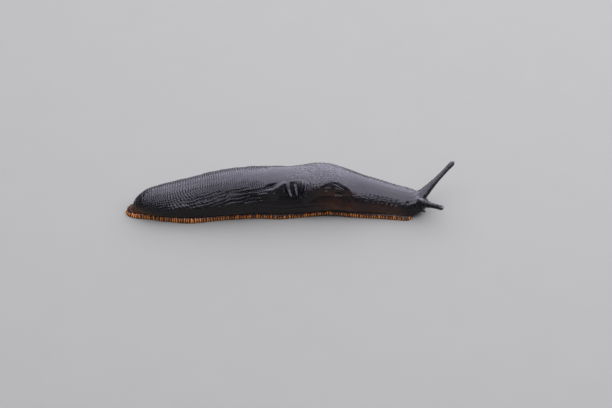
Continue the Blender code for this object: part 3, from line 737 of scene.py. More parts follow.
def add_node(tree, kind, inputs=None, **settings):
    """Adds a node. inputs pairs an input's name or number with a value or another node's output."""
    made = tree.nodes.new(kind)
    for name, value in settings.items():
        setattr(made, name, value)
    for key, value in (inputs or {}).items():
        if isinstance(value, bpy.types.NodeSocket):
            tree.links.new(value, made.inputs[key])
        else:
            made.inputs[key].default_value = value
    return made


def sum_of(tree, operation, *values):
    """The output of a Math node."""
    return add_node(tree, "ShaderNodeMath", dict(enumerate(values)), operation=operation).outputs[0]


def mixed(tree, factor, first, second):
    """The output of a colour mix."""
    inputs = {0: factor, 6: first, 7: second}
    return add_node(tree, "ShaderNodeMix", inputs, data_type="RGBA").outputs[2]


def between(tree, value, low, high, to_low=0.0, to_high=1.0):
    """The output of a smooth Map Range node."""
    inputs = {0: value, 1: low, 2: high, 3: to_low, 4: to_high}
    return add_node(tree, "ShaderNodeMapRange", inputs, interpolation_type="SMOOTHSTEP").outputs[0]


def attribute(tree, name, output="Fac"):
    """A value that keep_values has stored on the mesh."""
    return add_node(tree, "ShaderNodeAttribute", attribute_name=name).outputs[output]


def scaled(tree, vector, scale):
    """A vector stretched by a factor of its own along each axis."""
    return add_node(tree, "ShaderNodeVectorMath", {0: vector, 1: scale}, operation="MULTIPLY").outputs[0]


def noise(tree, vector, scale, detail=2.0):
    """The output of a Noise Texture."""
    inputs = {"Vector": vector, "Scale": scale, "Detail": detail}
    return add_node(tree, "ShaderNodeTexNoise", inputs).outputs[0]


def new_material(name, roughness, ior=1.4, coat=0.0, coat_roughness=0.1):
    """A material with the values that are the same all over, its tree and shader, and the point's place."""
    made = bpy.data.materials.new(name)
    made.use_nodes = True
    tree = made.node_tree
    shader = tree.nodes["Principled BSDF"]
    shader.inputs["Roughness"].default_value = roughness
    shader.inputs["IOR"].default_value = ior
    shader.inputs["Coat Weight"].default_value = coat
    shader.inputs["Coat Roughness"].default_value = coat_roughness
    return made, tree, shader, add_node(tree, "ShaderNodeTexCoord").outputs["Object"]


def add_relief(tree, shader, height_mm):
    """Bumps the surface by a height in millimetres."""
    bump = add_node(tree, "ShaderNodeBump", {"Height": height_mm, "Distance": MM, "Strength": 1.0})
    tree.links.new(bump.outputs[0], shader.inputs["Normal"])


def colour_of(name):
    """One of the slug's colours, with its alpha."""
    return (*getattr(bpy.context.scene.slug_colours, name), 1.0)


def browned(tree, here, scale, least):
    """The black of the skin, turned brown in irregular patches where the mesh says so."""
    patches = between(tree, noise(tree, here, scale, 4), 0.3, 0.7, least, 1.3)
    brown = sum_of(tree, "MULTIPLY", attribute(tree, "brown"), patches)
    return mixed(tree, brown, colour_of("skin"), colour_of("brown"))


def fine_grains(tree, stretch):
    """Distance to the middle of the nearest grain, on a pattern that follows the skin."""
    flow = attribute(tree, "flow", "Vector")
    return add_node(tree, "ShaderNodeTexVoronoi", {"Vector": scaled(tree, flow, stretch), "Scale": 1.0},
                    feature="SMOOTH_F1").outputs["Distance"]


def wet_sheen(tree, here, shader, smoothest, roughest):
    """Roughness that wanders between two values, as on wet skin."""
    sheen = between(tree, noise(tree, here, 900, 3), 0.3, 0.7, smoothest, roughest)
    tree.links.new(sheen, shader.inputs["Roughness"])


def skin_material():
    """Wet black skin: brown low on the flanks, cross strokes over the tubercles, and a fine grain."""
    sizes = bpy.context.scene.slug_skin
    made, tree, shader, here = new_material("wet_black_skin", 0.25, ior=WET_IOR)
    colour = browned(tree, here, 260, 0.45)
    colour = mixed(tree, attribute(tree, "tip"), colour, colour_of("tip"))
    tree.links.new(colour, shader.inputs["Base Color"])
    strokes = woven(tree, attribute(tree, "weave", "Vector"))
    strokes = sum_of(tree, "MULTIPLY", strokes, attribute(tree, "strokes"))
    grains = sum_of(tree, "MULTIPLY", fine_grains(tree, (1.0, 1.9, 1.0)), attribute(tree, "grained"))
    height = sum_of(tree, "MULTIPLY", strokes, sizes.wrinkle_height / MM)
    height = sum_of(tree, "MULTIPLY_ADD", grains, -SKIN_GRAIN_DEPTH, height)
    height = sum_of(tree, "MULTIPLY_ADD", noise(tree, here, 3200, 3), FINEST_HEIGHT, height)
    add_relief(tree, shader, height)
    wet_sheen(tree, here, shader, 0.19, 0.32)
    return made


def woven(tree, weave):
    """Cross strokes between furrows, or rows of staggered beads where the weave says so, from 0 to 1."""
    column, row, stagger = add_node(tree, "ShaderNodeSeparateXYZ", {0: weave}).outputs
    uneven = noise(tree, scaled(tree, weave, (0.22, 0.7, 1.0)), 1.0)
    wander = sum_of(tree, "MULTIPLY_ADD", uneven, 1.6, column)
    odd = sum_of(tree, "FLOORED_MODULO", sum_of(tree, "FLOOR", row), 2.0)
    shift = sum_of(tree, "MULTIPLY", sum_of(tree, "MULTIPLY", odd, stagger), 0.5)
    stroke = furrowed(tree, sum_of(tree, "ADD", wander, shift))
    bead = sum_of(tree, "MULTIPLY", sum_of(tree, "SUBTRACT", furrowed(tree, row), 1.0), stagger)
    return sum_of(tree, "MULTIPLY", stroke, sum_of(tree, "ADD", bead, 1.0))


def furrowed(tree, number):
    """A smooth wave, 0 at each whole number and 1 halfway between them."""
    wave = sum_of(tree, "ABSOLUTE", sum_of(tree, "SINE", sum_of(tree, "MULTIPLY", number, math.pi)))
    return between(tree, wave, 0.0, 1.0)


def mantle_material():
    """Wet black mantle: fine grained, speckled paler on the top of its middle, partly its own grey and partly
    a painted sheen, with arcs like a fingerprint.
    """
    made, tree, shader, here = new_material("wet_black_mantle", 0.25, ior=WET_IOR)
    colour = browned(tree, here, 300, 0.40)
    # Paler specks on the top: partly the mantle's own grey, partly a painted sheen
    specks_and_sheen = between(tree, noise(tree, here, 1500, 3), 0.42, 0.68, 0.2, 1.5)
    pale = sum_of(tree, "MULTIPLY", attribute(tree, "pale"), specks_and_sheen)
    tree.links.new(mixed(tree, pale, colour, colour_of("mantle")), shader.inputs["Base Color"])
    depth = sum_of(tree, "MULTIPLY_ADD", attribute(tree, "grained"), -MANTLE_GRAIN_DEPTH, -LEAST_GRAIN_DEPTH)
    height = sum_of(tree, "MULTIPLY_ADD", fine_grains(tree, (1.5, 1.7, 1.0)), depth, fingerprint(tree))
    height = sum_of(tree, "MULTIPLY_ADD", noise(tree, here, 3400, 3), FINEST_HEIGHT, height)
    add_relief(tree, shader, height)
    wet_sheen(tree, here, shader, 0.20, 0.33)
    return made


def fingerprint(tree):
    """Height in millimetres of close arcs, uneven like a fingerprint's, that fade away from their centre."""
    flow = attribute(tree, "flow", "Vector")
    away = add_node(tree, "ShaderNodeVectorMath", {0: flow, 1: ARCS_CENTRE}, operation="DISTANCE")
    away = sum_of(tree, "MULTIPLY_ADD", noise(tree, flow, 0.7), 1.8, away.outputs["Value"])
    wave = sum_of(tree, "SINE", sum_of(tree, "MULTIPLY", away, 2 * math.pi / ARCS_PITCH))
    return sum_of(tree, "MULTIPLY", between(tree, wave, -1.0, 0.0),
                  between(tree, away, *ARCS_FADE, ARCS_HEIGHT, 0.0))


def rib_material():
    """Orange ribs: bright on the crown, with dark bars towards the furrows on both sides, and darker towards
    the top, a painted shade under the flank's overhang.
    """
    made, tree, shader, here = new_material("orange_ribs", 0.45, ior=WET_IOR)
    side = sum_of(tree, "ABSOLUTE", attribute(tree, "rib_side"))
    edge = between(tree, side, 0.30, 0.90)
    # The painted shade at the top reaches further down the ribs towards the head
    x = add_node(tree, "ShaderNodeSeparateXYZ", {0: here}).outputs[0]
    rear, front = (in_frame((place, 0, 0))[0] for place in RIB_TOP_SHADE_PLACES)
    reach = between(tree, x, rear, front, -0.25, 0.14)
    up = sum_of(tree, "MULTIPLY_ADD", attribute(tree, "tone"), 0.15, attribute(tree, "rib_up"))
    # Painted shade on the upper part of each rib, which sits under the flank's overhang
    top = between(tree, sum_of(tree, "ADD", up, reach), 0.68, 1.05)
    dark = sum_of(tree, "MAXIMUM", edge, top)
    tone = sum_of(tree, "MULTIPLY", attribute(tree, "tone"), 0.7)
    mottle = between(tree, noise(tree, here, 1500, 3), 0.3, 0.75, 0.0, 0.45)
    dark = sum_of(tree, "ADD", dark, sum_of(tree, "ADD", tone, mottle))
    dark = add_node(tree, "ShaderNodeClamp", {0: dark}).outputs[0]
    tree.links.new(mixed(tree, dark, colour_of("fringe_light"), colour_of("fringe_bars_and_shade")),
                   shader.inputs["Base Color"])
    add_relief(tree, shader, sum_of(tree, "MULTIPLY", noise(tree, here, 3000, 2), 0.03))
    shader.inputs["Subsurface Weight"].default_value = 0.15
    shader.inputs["Subsurface Scale"].default_value = 0.0006
    return made


def furrow_material():
    """The dark strip behind the ribs, which shows between them."""
    made, tree, shader, here = new_material("dark_furrows", 0.42)
    spots = between(tree, noise(tree, here, 900, 3), 0.35, 0.7)
    colour = mixed(tree, spots, colour_of("fringe_bars_and_shade"), colour_of("brown"))
    tree.links.new(colour, shader.inputs["Base Color"])
    add_relief(tree, shader, sum_of(tree, "MULTIPLY", noise(tree, here, 2600, 2), 0.05))
    return made


def sole_material():
    """Pale slimy sole, darker along its margins, with fine cross wrinkles."""
    made, tree, shader, here = new_material("sole_skin", 0.36, coat=0.5, coat_roughness=0.08)
    colour = mixed(tree, attribute(tree, "margin"), colour_of("sole"), colour_of("brown"))
    spots = between(tree, noise(tree, here, 500, 4), 0.35, 0.75, 0.0, 0.35)
    tree.links.new(mixed(tree, spots, colour, colour_of("brown")), shader.inputs["Base Color"])
    wrinkle = add_node(tree, "ShaderNodeTexWave",
                       {"Vector": scaled(tree, here, (1000, 350, 0)), "Scale": 0.26, "Distortion": 1.6,
                        "Detail": 2.0}, wave_type="BANDS", bands_direction="X").outputs["Fac"]
    add_relief(tree, shader, sum_of(tree, "MULTIPLY", wrinkle, 0.07))
    return made


def eye_material():
    """Glossy black eye."""
    made, tree, shader, here = new_material("eye_black", 0.08, ior=1.45, coat=1.0, coat_roughness=0.03)
    tree.links.new(mixed(tree, noise(tree, here, 4000, 2), *EYE_COLOURS), shader.inputs["Base Color"])
    return made


def floor_material(colour):
    """Plain matt floor, hardly mottled."""
    made, tree, shader, here = new_material("pale_floor", 0.9)
    darker = (*(FLOOR_MOTTLE * c for c in colour), 1.0)
    tree.links.new(mixed(tree, noise(tree, here, 60, 3), (*colour, 1.0), darker), shader.inputs["Base Color"])
    shader.inputs["Specular IOR Level"].default_value = 0.1
    return made


def body_shell():
    """The body from tail to face as a plain closed tube."""
    shares = np.linspace(-1, 1, 121)
    places = np.concatenate([
        TAIL_END + 0.05 + 4 * (1 - np.cos(np.linspace(0, math.pi / 2, 16))),
        np.arange(TAIL_END + 4.5, BODY_LENGTH - 5.5, 0.7),
        BODY_LENGTH - 5 * (1 - np.sin(np.linspace(0, 1.52, 22)))])
    rings = []
    for place in places:
        ring = body_point(place, shares)
        right, left = ring[0].copy(), ring[-1].copy()
        depth = min(SKIRT_DEPTH, right[2] - SKIRT_FLOOR)
        for low in (right, left):
            low[2] -= depth
        middle = 0.5 * (right + left)
        rings.append([*ring, left, middle, right])
    first = np.mean(rings[0], axis=0)
    last = np.mean(rings[-1], axis=0)
    return loft(rings, first, last)


def stalk_shell(kind, root, radii, sides=28):
    """A tentacle from inside the head to its rounded tip."""
    start, way = stalk_start(kind, root), stalk_way(kind)
    aside = np.cross(way, [0, 0, 1])
    aside /= np.linalg.norm(aside)
    up = np.cross(aside, way)
    turn = np.linspace(0, 2 * math.pi, sides, endpoint=False)
    round_about = np.outer(np.cos(turn), aside) + np.outer(np.sin(turn), up)
    rings = []
    for share in np.linspace(0, 1, 40):
        radius = float(smooth_curve(radii, share))
        rings.append(start + way * share * kind[3] + radius * round_about)
    end, radius = start + way * kind[3], radii[-1][1]
    for tilt in np.radians((15, 30, 45, 60, 75)):
        rings.append(end + way * radius * math.sin(tilt) + radius * math.cos(tilt) * round_about)
    return loft(rings, start, end + way * radius)


def ball_shell(centre, radii, rings=16, sides=24):
    """A closed ball with its own radius along each axis."""
    turn = np.linspace(0, 2 * math.pi, sides, endpoint=False)
    loops = []
    for polar in np.linspace(0, math.pi, rings + 1)[1:-1]:
        unit = np.stack([np.full(sides, math.cos(polar)), math.sin(polar) * np.cos(turn),
                         math.sin(polar) * np.sin(turn)], axis=1)
        loops.append(centre + unit * radii)
    tip = np.array([radii[0], 0, 0])
    return loft(loops, centre + tip, centre - tip)


def fused(name, shells, step):
    """One closed mesh round all the shells, with faces of one size."""
    points, faces, count = [], [], 0
    for shell_points, shell_faces in shells:
        points.append(shell_points)
        faces += [tuple(k + count for k in face) for face in shell_faces]
        count += len(shell_points)
    made = make_mesh(name, np.concatenate(points), faces)
    remesh = made.modifiers.new("even_faces", "REMESH")
    remesh.mode = "VOXEL"
    remesh.voxel_size = step
    remesh.use_smooth_shade = True
    settle(made, remesh)
    return made


def from_stalks(points):
    """For each upper and lower tentacle: distance along its axis, away from it, and its length."""
    found = []
    for kind, root, _ in TENTACLES.values():
        start, way = stalk_start(kind, root), stalk_way(kind)
        rel = points - start
        along = rel @ way
        away = np.linalg.norm(rel - np.outer(along, way), axis=1)
        found.append((along, away, kind[3]))
    return found


def fold_along(place, part, fold):
    """One groove or ridge of a flank, in millimetres."""
    height, width, line = fold
    fade = band(place, line[0][0], line[0][0] + FOLD_END, line[-1][0] - FOLD_END, line[-1][0])
    fade = fade * (0.8 + 0.3 * ripple(place * 1.5, part * 0, 61))
    sway = 0.2 * ripple(place * 1.1, part * 0, 62)
    return height * fade * hump((part - smooth_curve(line, place)) * SHARE_LENGTH + sway, 0.0, width)


def drape_fold(place, part, fold):
    """A fold that hangs down the flank and stands out more towards its foot, in millimetres."""
    height, width, line = fold
    down = np.clip((part - line[0][0]) / (line[-1][0] - line[0][0]), 0, 1)
    across = (place - smooth_curve(line, part)) / width
    return height * down ** 0.8 * ease(down, 1.0, 0.85) * np.exp(-across ** 6)


def hollow_below(line, place, part, foot):
    """Depth, as a share of the full one, of a hollow that starts at a line and eases out at its foot."""
    down = np.clip((part - smooth_curve(line, place)) * SHARE_LENGTH / HOLLOW_SLOPE, 0, 1)
    return (1 - (1 - down) ** 2) * ease(part, *foot)


def flank_hollow(place, share):
    """How far the skin of the flank lies in: under the mantle's rear, and round the breathing pore."""
    part = np.abs(share)
    front = np.where(share < 0, ease(place, *SLACK_FRONT), LEFT_SHARE * ease(place, *SLACK_LEFT_FRONT))
    slack = SLACK_DEPTH * ease(place, *SLACK_REAR) * front
    pore = PORE_HOLLOW_DEPTH * band(place, *PORE_HOLLOW_PLACES) * (share < 0)
    return (slack * hollow_below(SLACK_LINE, place, part, SLACK_FOOT)
            + pore * hollow_below(PORE_LINE, place, part, PORE_HOLLOW_FOOT))


def fold_relief(place, share, across=math.inf):
    """The larger folds of the back, flanks, neck and head, in millimetres."""
    part = np.abs(share)
    right = share < 0
    lift = np.where(right, 1, LEFT_SHARE) * sum(fold_along(place, part, fold) for fold in FLANK_FOLDS)
    lift += right * sum(drape_fold(place, part, fold) for fold in DRAPE_FOLDS)
    lift += right * sum(fold_along(place, part, fold) for fold in PORE_FOLDS)
    lift += SADDLE_HEIGHT * hump(place, SADDLE_PLACE, SADDLE_REACH) * ease(part, *SADDLE_SHARES)
    sway = ripple(place * 0.35, share * 6, 41)
    # Wrinkles on the sides of the neck
    neck = band(place, *NECK_WRINKLE_PLACES) * band(part, *NECK_WRINKLE_SHARES)
    notch = (place + 0.1 * (part - 0.4) * SHARE_LENGTH + 0.6 * sway) / NECK_WRINKLE_PITCH
    lift -= NECK_WRINKLE_DEPTH * neck * np.clip(np.sin(2 * math.pi * notch), 0, 1) ** 3
    # Twin furrows along the top of the neck
    twin = hump(np.abs(across), TWIN_FURROW_SIDE, TWIN_FURROW_WIDTH)
    lift -= TWIN_FURROW_DEPTH * band(place, *TWIN_FURROW_PLACES) * twin
    # Crease behind the face
    crease = hump(place, FACE_CREASE_PLACE + 1.6 * (part - 0.5), FACE_CREASE_WIDTH)
    lift -= FACE_CREASE_DEPTH * crease * band(part, *FACE_CREASE_SHARES)
    # Broad waves low on the flanks
    low = band(place, *LOW_WAVE_PLACES) * ease(part, *LOW_WAVE_SHARES)
    wave = np.cos(2 * math.pi * (part * SHARE_LENGTH / LOW_WAVE_PITCH + 0.4 * sway))
    lift -= LOW_WAVE_DEPTH * low * np.clip(wave, 0, 1) ** 3
    return lift - flank_hollow(place, share)


def mantle_radius(place, share):
    """Radius on the mantle's oval outline, 1 on its edge."""
    power = 2 / MANTLE_CORNER_POWER
    along = np.abs(place - MANTLE_CENTRE) / MANTLE_HALF_LENGTH
    aside = np.abs(share) / (UPPER_SHARE * MANTLE_HALF_ANGLE / 90)
    return (along ** power + aside ** power) ** (1 / power)


def weave_of(place, share, sizes):
    """Numbers of the fine cross strokes and of the tubercle rows, and how far every other row is set off."""
    part = np.abs(share)
    rows = sizes.tubercle_rows / 2
    row = np.sign(share) * (part + ROW_SLANT * (place - BACK_PEAK)) * rows
    row = row + 0.3 * ripple(place * 0.22, share * 7, sizes.seed + 1)
    row = row + 0.24 * ripple(place * 1.1, share * 16, sizes.seed + 2)
    along = place - smooth_curve(STROKE_LEAN, place) * np.maximum(part * SHARE_LENGTH - STROKE_ZERO, 0)
    along = along + 0.5 * ripple(place * 0.5, share * 9, sizes.seed + 3)
    stagger = ease(part, *STAGGER_SHARES) * ease(place, *STAGGER_PLACES)
    return along / (sizes.wrinkle_pitch / MM), row, stagger


def tubercle_ropes(place, share, row, sizes):
    """Rows of tubercles, as a share of their height: ropes that are parted into short uneven lengths."""
    length = sizes.tubercle_length / MM
    _, gap = cells(place / length, row, sizes.seed)
    rope = ease(np.abs(np.sin(math.pi * row)), 0.0, 0.8)
    uneven = 0.30 * ripple(place * 1.2, share * 30, sizes.seed + 4)
    return 0.60 * rope + 0.40 * ease(gap, 0.0, 0.3) + uneven * rope - 0.6


def tubercle_share(place, part, height, stalk):
    """How strongly the tubercles stand out: fully on the rear flanks, less on the back, neck and foot."""
    rear = ease(place, *TUBERCLES_TAIL) * ease(place, *TUBERCLES_FRONT, 0.12)
    flank = ease(part, *TUBERCLES_TOP, 0.15) * ease(part, *TUBERCLES_FOOT, 0.2)
    clear = ease(place, *TUBERCLES_NECK) * (1 - stalk) * ease(height, 3.2, 4.6)
    clear = clear * ease(mantle_radius(place, part), 1.0, 1.07)
    return rear * flank * clear * (1 - 0.8 * band(place, *SMOOTHER_PLACES))


def stroke_share(place, part, stalk, plain):
    """How strongly the fine cross strokes show: on the rear body, the sides of the neck and the tentacles."""
    rear = band(place, *STROKE_PLACES) * ease(part, *STROKES_FOOT)
    rear = rear * ease(part, 0.08, 0.17 + 0.10 * ease(place, 36, 44), 0.3)
    neck = 0.6 * band(place, *NECK_STROKE_PLACES) * band(part, *NECK_STROKE_SHARES)
    return plain ** 4 * ((1 - stalk) * (rear + neck) + 0.35 * stalk)


def brown_share(place, part, height, stalk):
    """How much brown shows: low on the flanks towards the head, and over the tail of the foot."""
    flank = ease(part, *BROWN_SHARES) * ease(place, *BROWN_PLACES, 0.08) * ease(place, *BROWN_FACE)
    flank = flank * ease(part, 0.72, 0.9, 0.6)
    return np.maximum(flank, ease(height, 6.0, 3.4) * ease(place, *BROWN_TAIL)) * (1 - stalk)


def skin_shells():
    """The closed shells that the skin is drawn round."""
    shells = [body_shell()]
    shells += [stalk_shell(*spec) for spec in TENTACLES.values()]
    for side in (-1, 1):
        for (place, aside, height), radii in ((LIP_CENTRE, LIP_RADII), (BROW_CENTRE, BROW_RADII)):
            shells.append(ball_shell(on_plan(place, side * aside, height), np.array(radii)))
    shells.append(ball_shell(on_plan(*TAIL_COVER_CENTRE), np.array(TAIL_COVER_RADII)))
    return shells


def softened(skin, points, stalks):
    """Smooths the skin a little all over, and more at the tentacles' roots, the mouth and the tail."""
    points = relaxed(skin, points, np.full(len(points), 0.5), 2)
    roots = np.zeros(len(points))
    for along, away, length in stalks:
        roots = np.maximum(roots, hump(along, 0.15 * length, 0.2 * length + 0.6) * ease(away, 4.4, 2.6))
    mouth = hump(points[:, 0], LIP_CENTRE[0], 3.0) * ease(points[:, 2], 6.5, 4.0)
    tail = ease(points[:, 0], 7, 4) * ease(points[:, 2], 6.5, 4.5)
    return relaxed(skin, points, 0.55 * np.maximum.reduce([roots, 0.6 * mouth, 0.8 * tail]), 20)


def stalk_shares(stalks):
    """For each point, from 0 to 1: on a tentacle, clear of where its rings start, and at its tip."""
    stalk, plain, tip = 0.0, 1.0, 0.0
    for (along, away, length), name in zip(stalks, TENTACLES):
        near = ease(away, 3.2, 2.2)
        stalk = np.maximum(stalk, near * ease(along, 0.12 * length, 0.24 * length))
        plain = np.minimum(plain, 1 - near * hump(along, RINGS_START * length, 0.05 * length))
        most = 0.8 if "upper" in name else 0.4
        tip = np.maximum(tip, near * ease(along, length - 0.9, length + 0.5) * most)
    return stalk, plain, tip


def ring_stalks(points, stalks, flow, column, stagger):
    """Changes the patterns' coordinates to rings round each tentacle, from where its rings start."""
    for (along, away, length), (kind, root, _) in zip(stalks, TENTACLES.values()):
        on_stalk = (away < 3.0) & (along > RINGS_START * length)
        along = along[on_stalk]
        rel = points[on_stalk] - stalk_start(kind, root)
        way = stalk_way(kind)
        aside = np.cross(way, [0, 0, 1])
        angle = np.arctan2(rel @ np.cross(aside, way), rel @ aside)
        flow[on_stalk] = np.stack([200 + along, 2.5 * np.sin(angle), 2.5 * np.cos(angle)], axis=1)
        column[on_stalk] = along / RING_PITCH
        stagger[on_stalk] = 0


def make_skin():
    """Body, head and tentacles under one skin."""
    sizes = bpy.context.scene.slug_skin
    skin = fused("slug_skin", skin_shells(), sizes.mesh_step)
    points = plan_points(skin)
    stalks = from_stalks(points)
    points = softened(skin, points, stalks)
    place_points(skin, points)

    place, across, share = plan_of(points)
    part = np.abs(share)
    stalk, plain, tip = stalk_shares(stalks)
    column, row, stagger = weave_of(place, share, sizes)
    height = tubercle_share(place, part, points[:, 2], stalk) * sizes.tubercle_height / MM
    height *= tubercle_ropes(place, share, row, sizes)
    _, gap = cells(points[:, 0] / TAIL_CELL, (points[:, 1] + points[:, 2]) / TAIL_CELL, sizes.seed + 5)
    height += TAIL_CELL_DEPTH * ease(place, *TAIL_CELL_PLACES) * (ease(gap, 0.0, 0.4) - 0.7)
    height += (1 - stalk) * fold_relief(place, share, across)
    height -= MANTLE_BED * ease(mantle_radius(place, share), 0.965, 0.90)
    head = ease(place, 108, 114) * (1 - 0.7 * stalk)
    height += 0.05 * head * ripple(points[:, 0], points[:, 1] + points[:, 2], 77, finest=5.0)
    upper = stalks[:2]
    swell = sum(hump(away, 0, 3) * np.sin(2 * math.pi * along / RING_SWELL_PITCH) for along, away, _ in upper)
    height += RING_SWELL * stalk * swell
    points = points + mesh_normals(skin) * height[:, None]
    points[:, 2] = np.maximum(points[:, 2], SKIN_FLOOR)
    place_points(skin, points)

    flow = np.stack([place, share * SHARE_LENGTH, 6 * stalk], axis=1)
    ring_stalks(points, stalks, flow, column, stagger)
    neck = ease(place, 91, 96) * ease(place, 116, 110) * ease(part, 0.10, 0.18)
    keep_values(skin, flow=flow, weave=np.stack([column, row, stagger], axis=1), tip=tip,
                strokes=stroke_share(place, part, stalk, plain),
                brown=brown_share(place, part, points[:, 2], stalk),
                grained=plain ** 4 * (0.55 + 0.45 * stalk + 1.3 * neck))
    finish_piece(skin, "slug_skin", skin_material(), "tail", "back", "torso", "neck", "head",
                 *("tentacle_" + name for name in TENTACLES))


def mantle_place(radius, angle):
    """Place along the body and share of the skin for a point of the mantle's oval outline."""
    along = np.sign(np.cos(angle)) * np.abs(np.cos(angle)) ** MANTLE_CORNER_POWER
    aside = np.sign(np.sin(angle)) * np.abs(np.sin(angle)) ** MANTLE_CORNER_POWER
    waves = 0.010 * np.sin(5 * angle + 1.0) + 0.008 * np.sin(9 * angle + 2.2)
    uneven = 1 + radius ** 4 * waves
    place = MANTLE_CENTRE + MANTLE_HALF_LENGTH * radius * along * uneven
    reach = (MANTLE_HALF_ANGLE / 90) * UPPER_SHARE
    return place, reach * radius * aside * uneven


def pore_relief(place, share):
    """The breathing pore with its rim, in millimetres."""
    arc = SHARE_LENGTH * (share - UPPER_SHARE * PORE_ANGLE / 90)
    oval = np.hypot((place - PORE_PLACE) / PORE_HALF_LENGTH, arc / PORE_HALF_HEIGHT)
    return np.where(share < 0, PORE_RIM * hump(oval, 1.55, 0.45) - PORE_DEPTH * np.exp(-oval ** 4), 0)


def edge_profile(radius):
    """Share of the mantle's thickness that is left at a radius: nearly all of it until close to the edge."""
    return math.sqrt(max(0.0, 1 - radius ** MANTLE_EDGE_POWER))


def mantle_level(radius, angle):
    """Height of the mantle above the plain skin: a crisp edge on both sides of the rear, soft elsewhere."""
    crisp = edge_profile(radius)
    soft = 1.15 * (1 - radius ** 2.6) ** 1.2 - 0.10 * radius ** 20
    rear = 0.7 * ease(-np.cos(angle), 0.55, 0.86) * ease(np.abs(np.sin(angle)), 0.06, 0.4)
    return MANTLE_RISE * (rear * crisp + (1 - rear) * np.minimum(soft, 1.0))


def make_mantle():
    """The mantle, a shield with a grained middle, folded sides and the breathing pore."""
    sizes = bpy.context.scene.slug_mantle
    grain = sizes.grain_size / MM
    angles = np.linspace(0, 2 * math.pi, 520, endpoint=False)
    outer_radii = np.concatenate([np.linspace(0.012, 0.93, 80),
                                  1 - 0.07 * (1 - np.sin(np.linspace(0.1, 1.5, 12)))])
    under_radii = np.linspace(0.97, 0.3, 8)
    rings, flows, browns, grained, pale = [], [], [], [], []
    for radius, outside in [(r, True) for r in outer_radii] + [(r, False) for r in under_radii]:
        place, share = mantle_place(radius, angles)
        part = np.abs(share)
        edge = edge_profile(radius)
        grainy = band(place, *MANTLE_GRAIN_PLACES) * ease(radius, 0.98, 0.85)
        grainy = grainy * ease(flank_hollow(place, share), 0.5, 0.1)
        if outside:
            _, gap = cells(place / grain, share * SHARE_LENGTH / grain, sizes.seed, 0.9, 0.9)
            relief = grainy * sizes.grain_height / MM * (ease(gap, 0, 0.5) - 0.5)
            relief = relief + pore_relief(place, share) + 0.08 * ripple(place * 0.4, share * 10, 91)
            level = mantle_level(radius, angles) + edge * relief
        else:
            level = -MANTLE_DEPTH * edge
        rings.append(body_point(place, share, level + fold_relief(place, share)))
        flows.append(np.stack([place, share * SHARE_LENGTH, 0 * place + (0 if outside else 9)], axis=1))
        browns.append(0.4 * ease(part, 0.24, 0.5) * ease(place, 70, 84))
        grained.append(grainy)
        # Where the paler specks go: partly the mantle's own grey, partly a painted sheen on its lit top
        pale.append(edge * band(place, *MANTLE_PALE_SHEEN_PLACES) * ease(part, *MANTLE_PALE_SHEEN_SHARES))
    points, faces = loft(rings, body_point(MANTLE_CENTRE, 0.0, MANTLE_RISE),
                         body_point(MANTLE_CENTRE, 0.0, -MANTLE_DEPTH))
    mantle = make_mesh("mantle_skin", points, faces)
    ends = [[MANTLE_CENTRE, 0, 0], [MANTLE_CENTRE, 0, 9]]
    keep_values(mantle, flow=np.concatenate([*flows, ends]), brown=np.concatenate([*browns, [0, 0]]),
                grained=np.concatenate([*grained, [1, 1]]), pale=np.concatenate([*pale, [1, 1]]))
    finish_piece(mantle, "mantle_skin", mantle_material(), "mantle")


def foot_outline(side):
    """Even steps along one edge of the foot, from the tail tip to the front, with the way out of it."""
    turn = np.linspace(FRINGE_TAIL_TURN, math.pi - FRINGE_FRONT_TURN, 900)
    place = FOOT_LENGTH * (1 - np.cos(turn)) / 2
    line = on_plan(place, side * foot_edge(place, side), 0.0)
    walked = np.concatenate([[0], np.cumsum(np.linalg.norm(np.diff(line, axis=0), axis=1))])
    stops = np.linspace(0, walked[-1], int(walked[-1] / FOOT_STEP))
    place = np.interp(stops, walked, place)
    line = np.stack([np.interp(stops, walked, line[:, k]) for k in range(3)], axis=1)
    along = np.gradient(line, axis=0)
    along /= np.linalg.norm(along, axis=1, keepdims=True)
    out = side * np.stack([-along[:, 1], along[:, 0], np.zeros(len(place))], axis=1)
    out[0] = (-1, 0, 0)
    return place, line, out


def fringe_share(place):
    """Share of its full height that the fringe keeps, less towards its ends."""
    tail = np.clip(1 - place / FRINGE_TAIL_TAPER, 0, 1)
    front = np.clip(1 - (FOOT_LENGTH - place) / FRINGE_FRONT_TAPER, 0, 1)
    return 1 - (1 - FRINGE_TAIL_HEIGHT) * tail - (1 - FRINGE_FRONT_HEIGHT) * front


def fringe_strip(side):
    """The smooth strip that the ribs stand on."""
    rings = []
    for place, edge, way in zip(*foot_outline(side)):
        tall = FOOT_HEIGHT * fringe_share(place)
        lift = float(edge_lift(place, side))
        ring = np.array([edge + way * out + np.array([0, 0, lift + tall * up]) for out, up in STRIP_SECTION])
        ring[:, 1] = side * np.maximum(side * ring[:, 1], -0.2)
        rings.append(ring)
    return loft(rings, np.mean(rings[0], axis=0), np.mean(rings[-1], axis=0))


def rib_shape(width):
    """One rib of the fringe, standing at the origin with its crown towards +Y."""
    turn = np.linspace(0, math.pi, 7)
    points, sides, ups = [], [], []
    for (out, up), part in zip(RIB_CROWN, RIB_NARROWING):
        for t in turn:
            x = width / 2 * part * math.cos(t)
            y = out - 0.5 + 0.5 * math.sin(t)
            points.append((x * MM, y * MM, up * FOOT_HEIGHT * MM))
            sides.append(math.cos(t) * part)
            ups.append(up)
    count = len(turn)
    last = len(points) - count
    ends = [tuple(range(count)), tuple(range(last, last + count))]
    shape = closed_mesh("rib_shape", points, ends + tube_faces(len(RIB_CROWN), count))
    keep_values(shape, rib_side=np.array(sides), rib_up=np.array(ups))
    return shape


def bead_shape():
    """One low bead of the skin, at the origin with its crown towards +Y."""
    points, faces = ball_shell(np.zeros(3), np.array(BEAD_RADII), 6, 8)
    return closed_mesh("bead_shape", (points * MM).tolist(), faces)


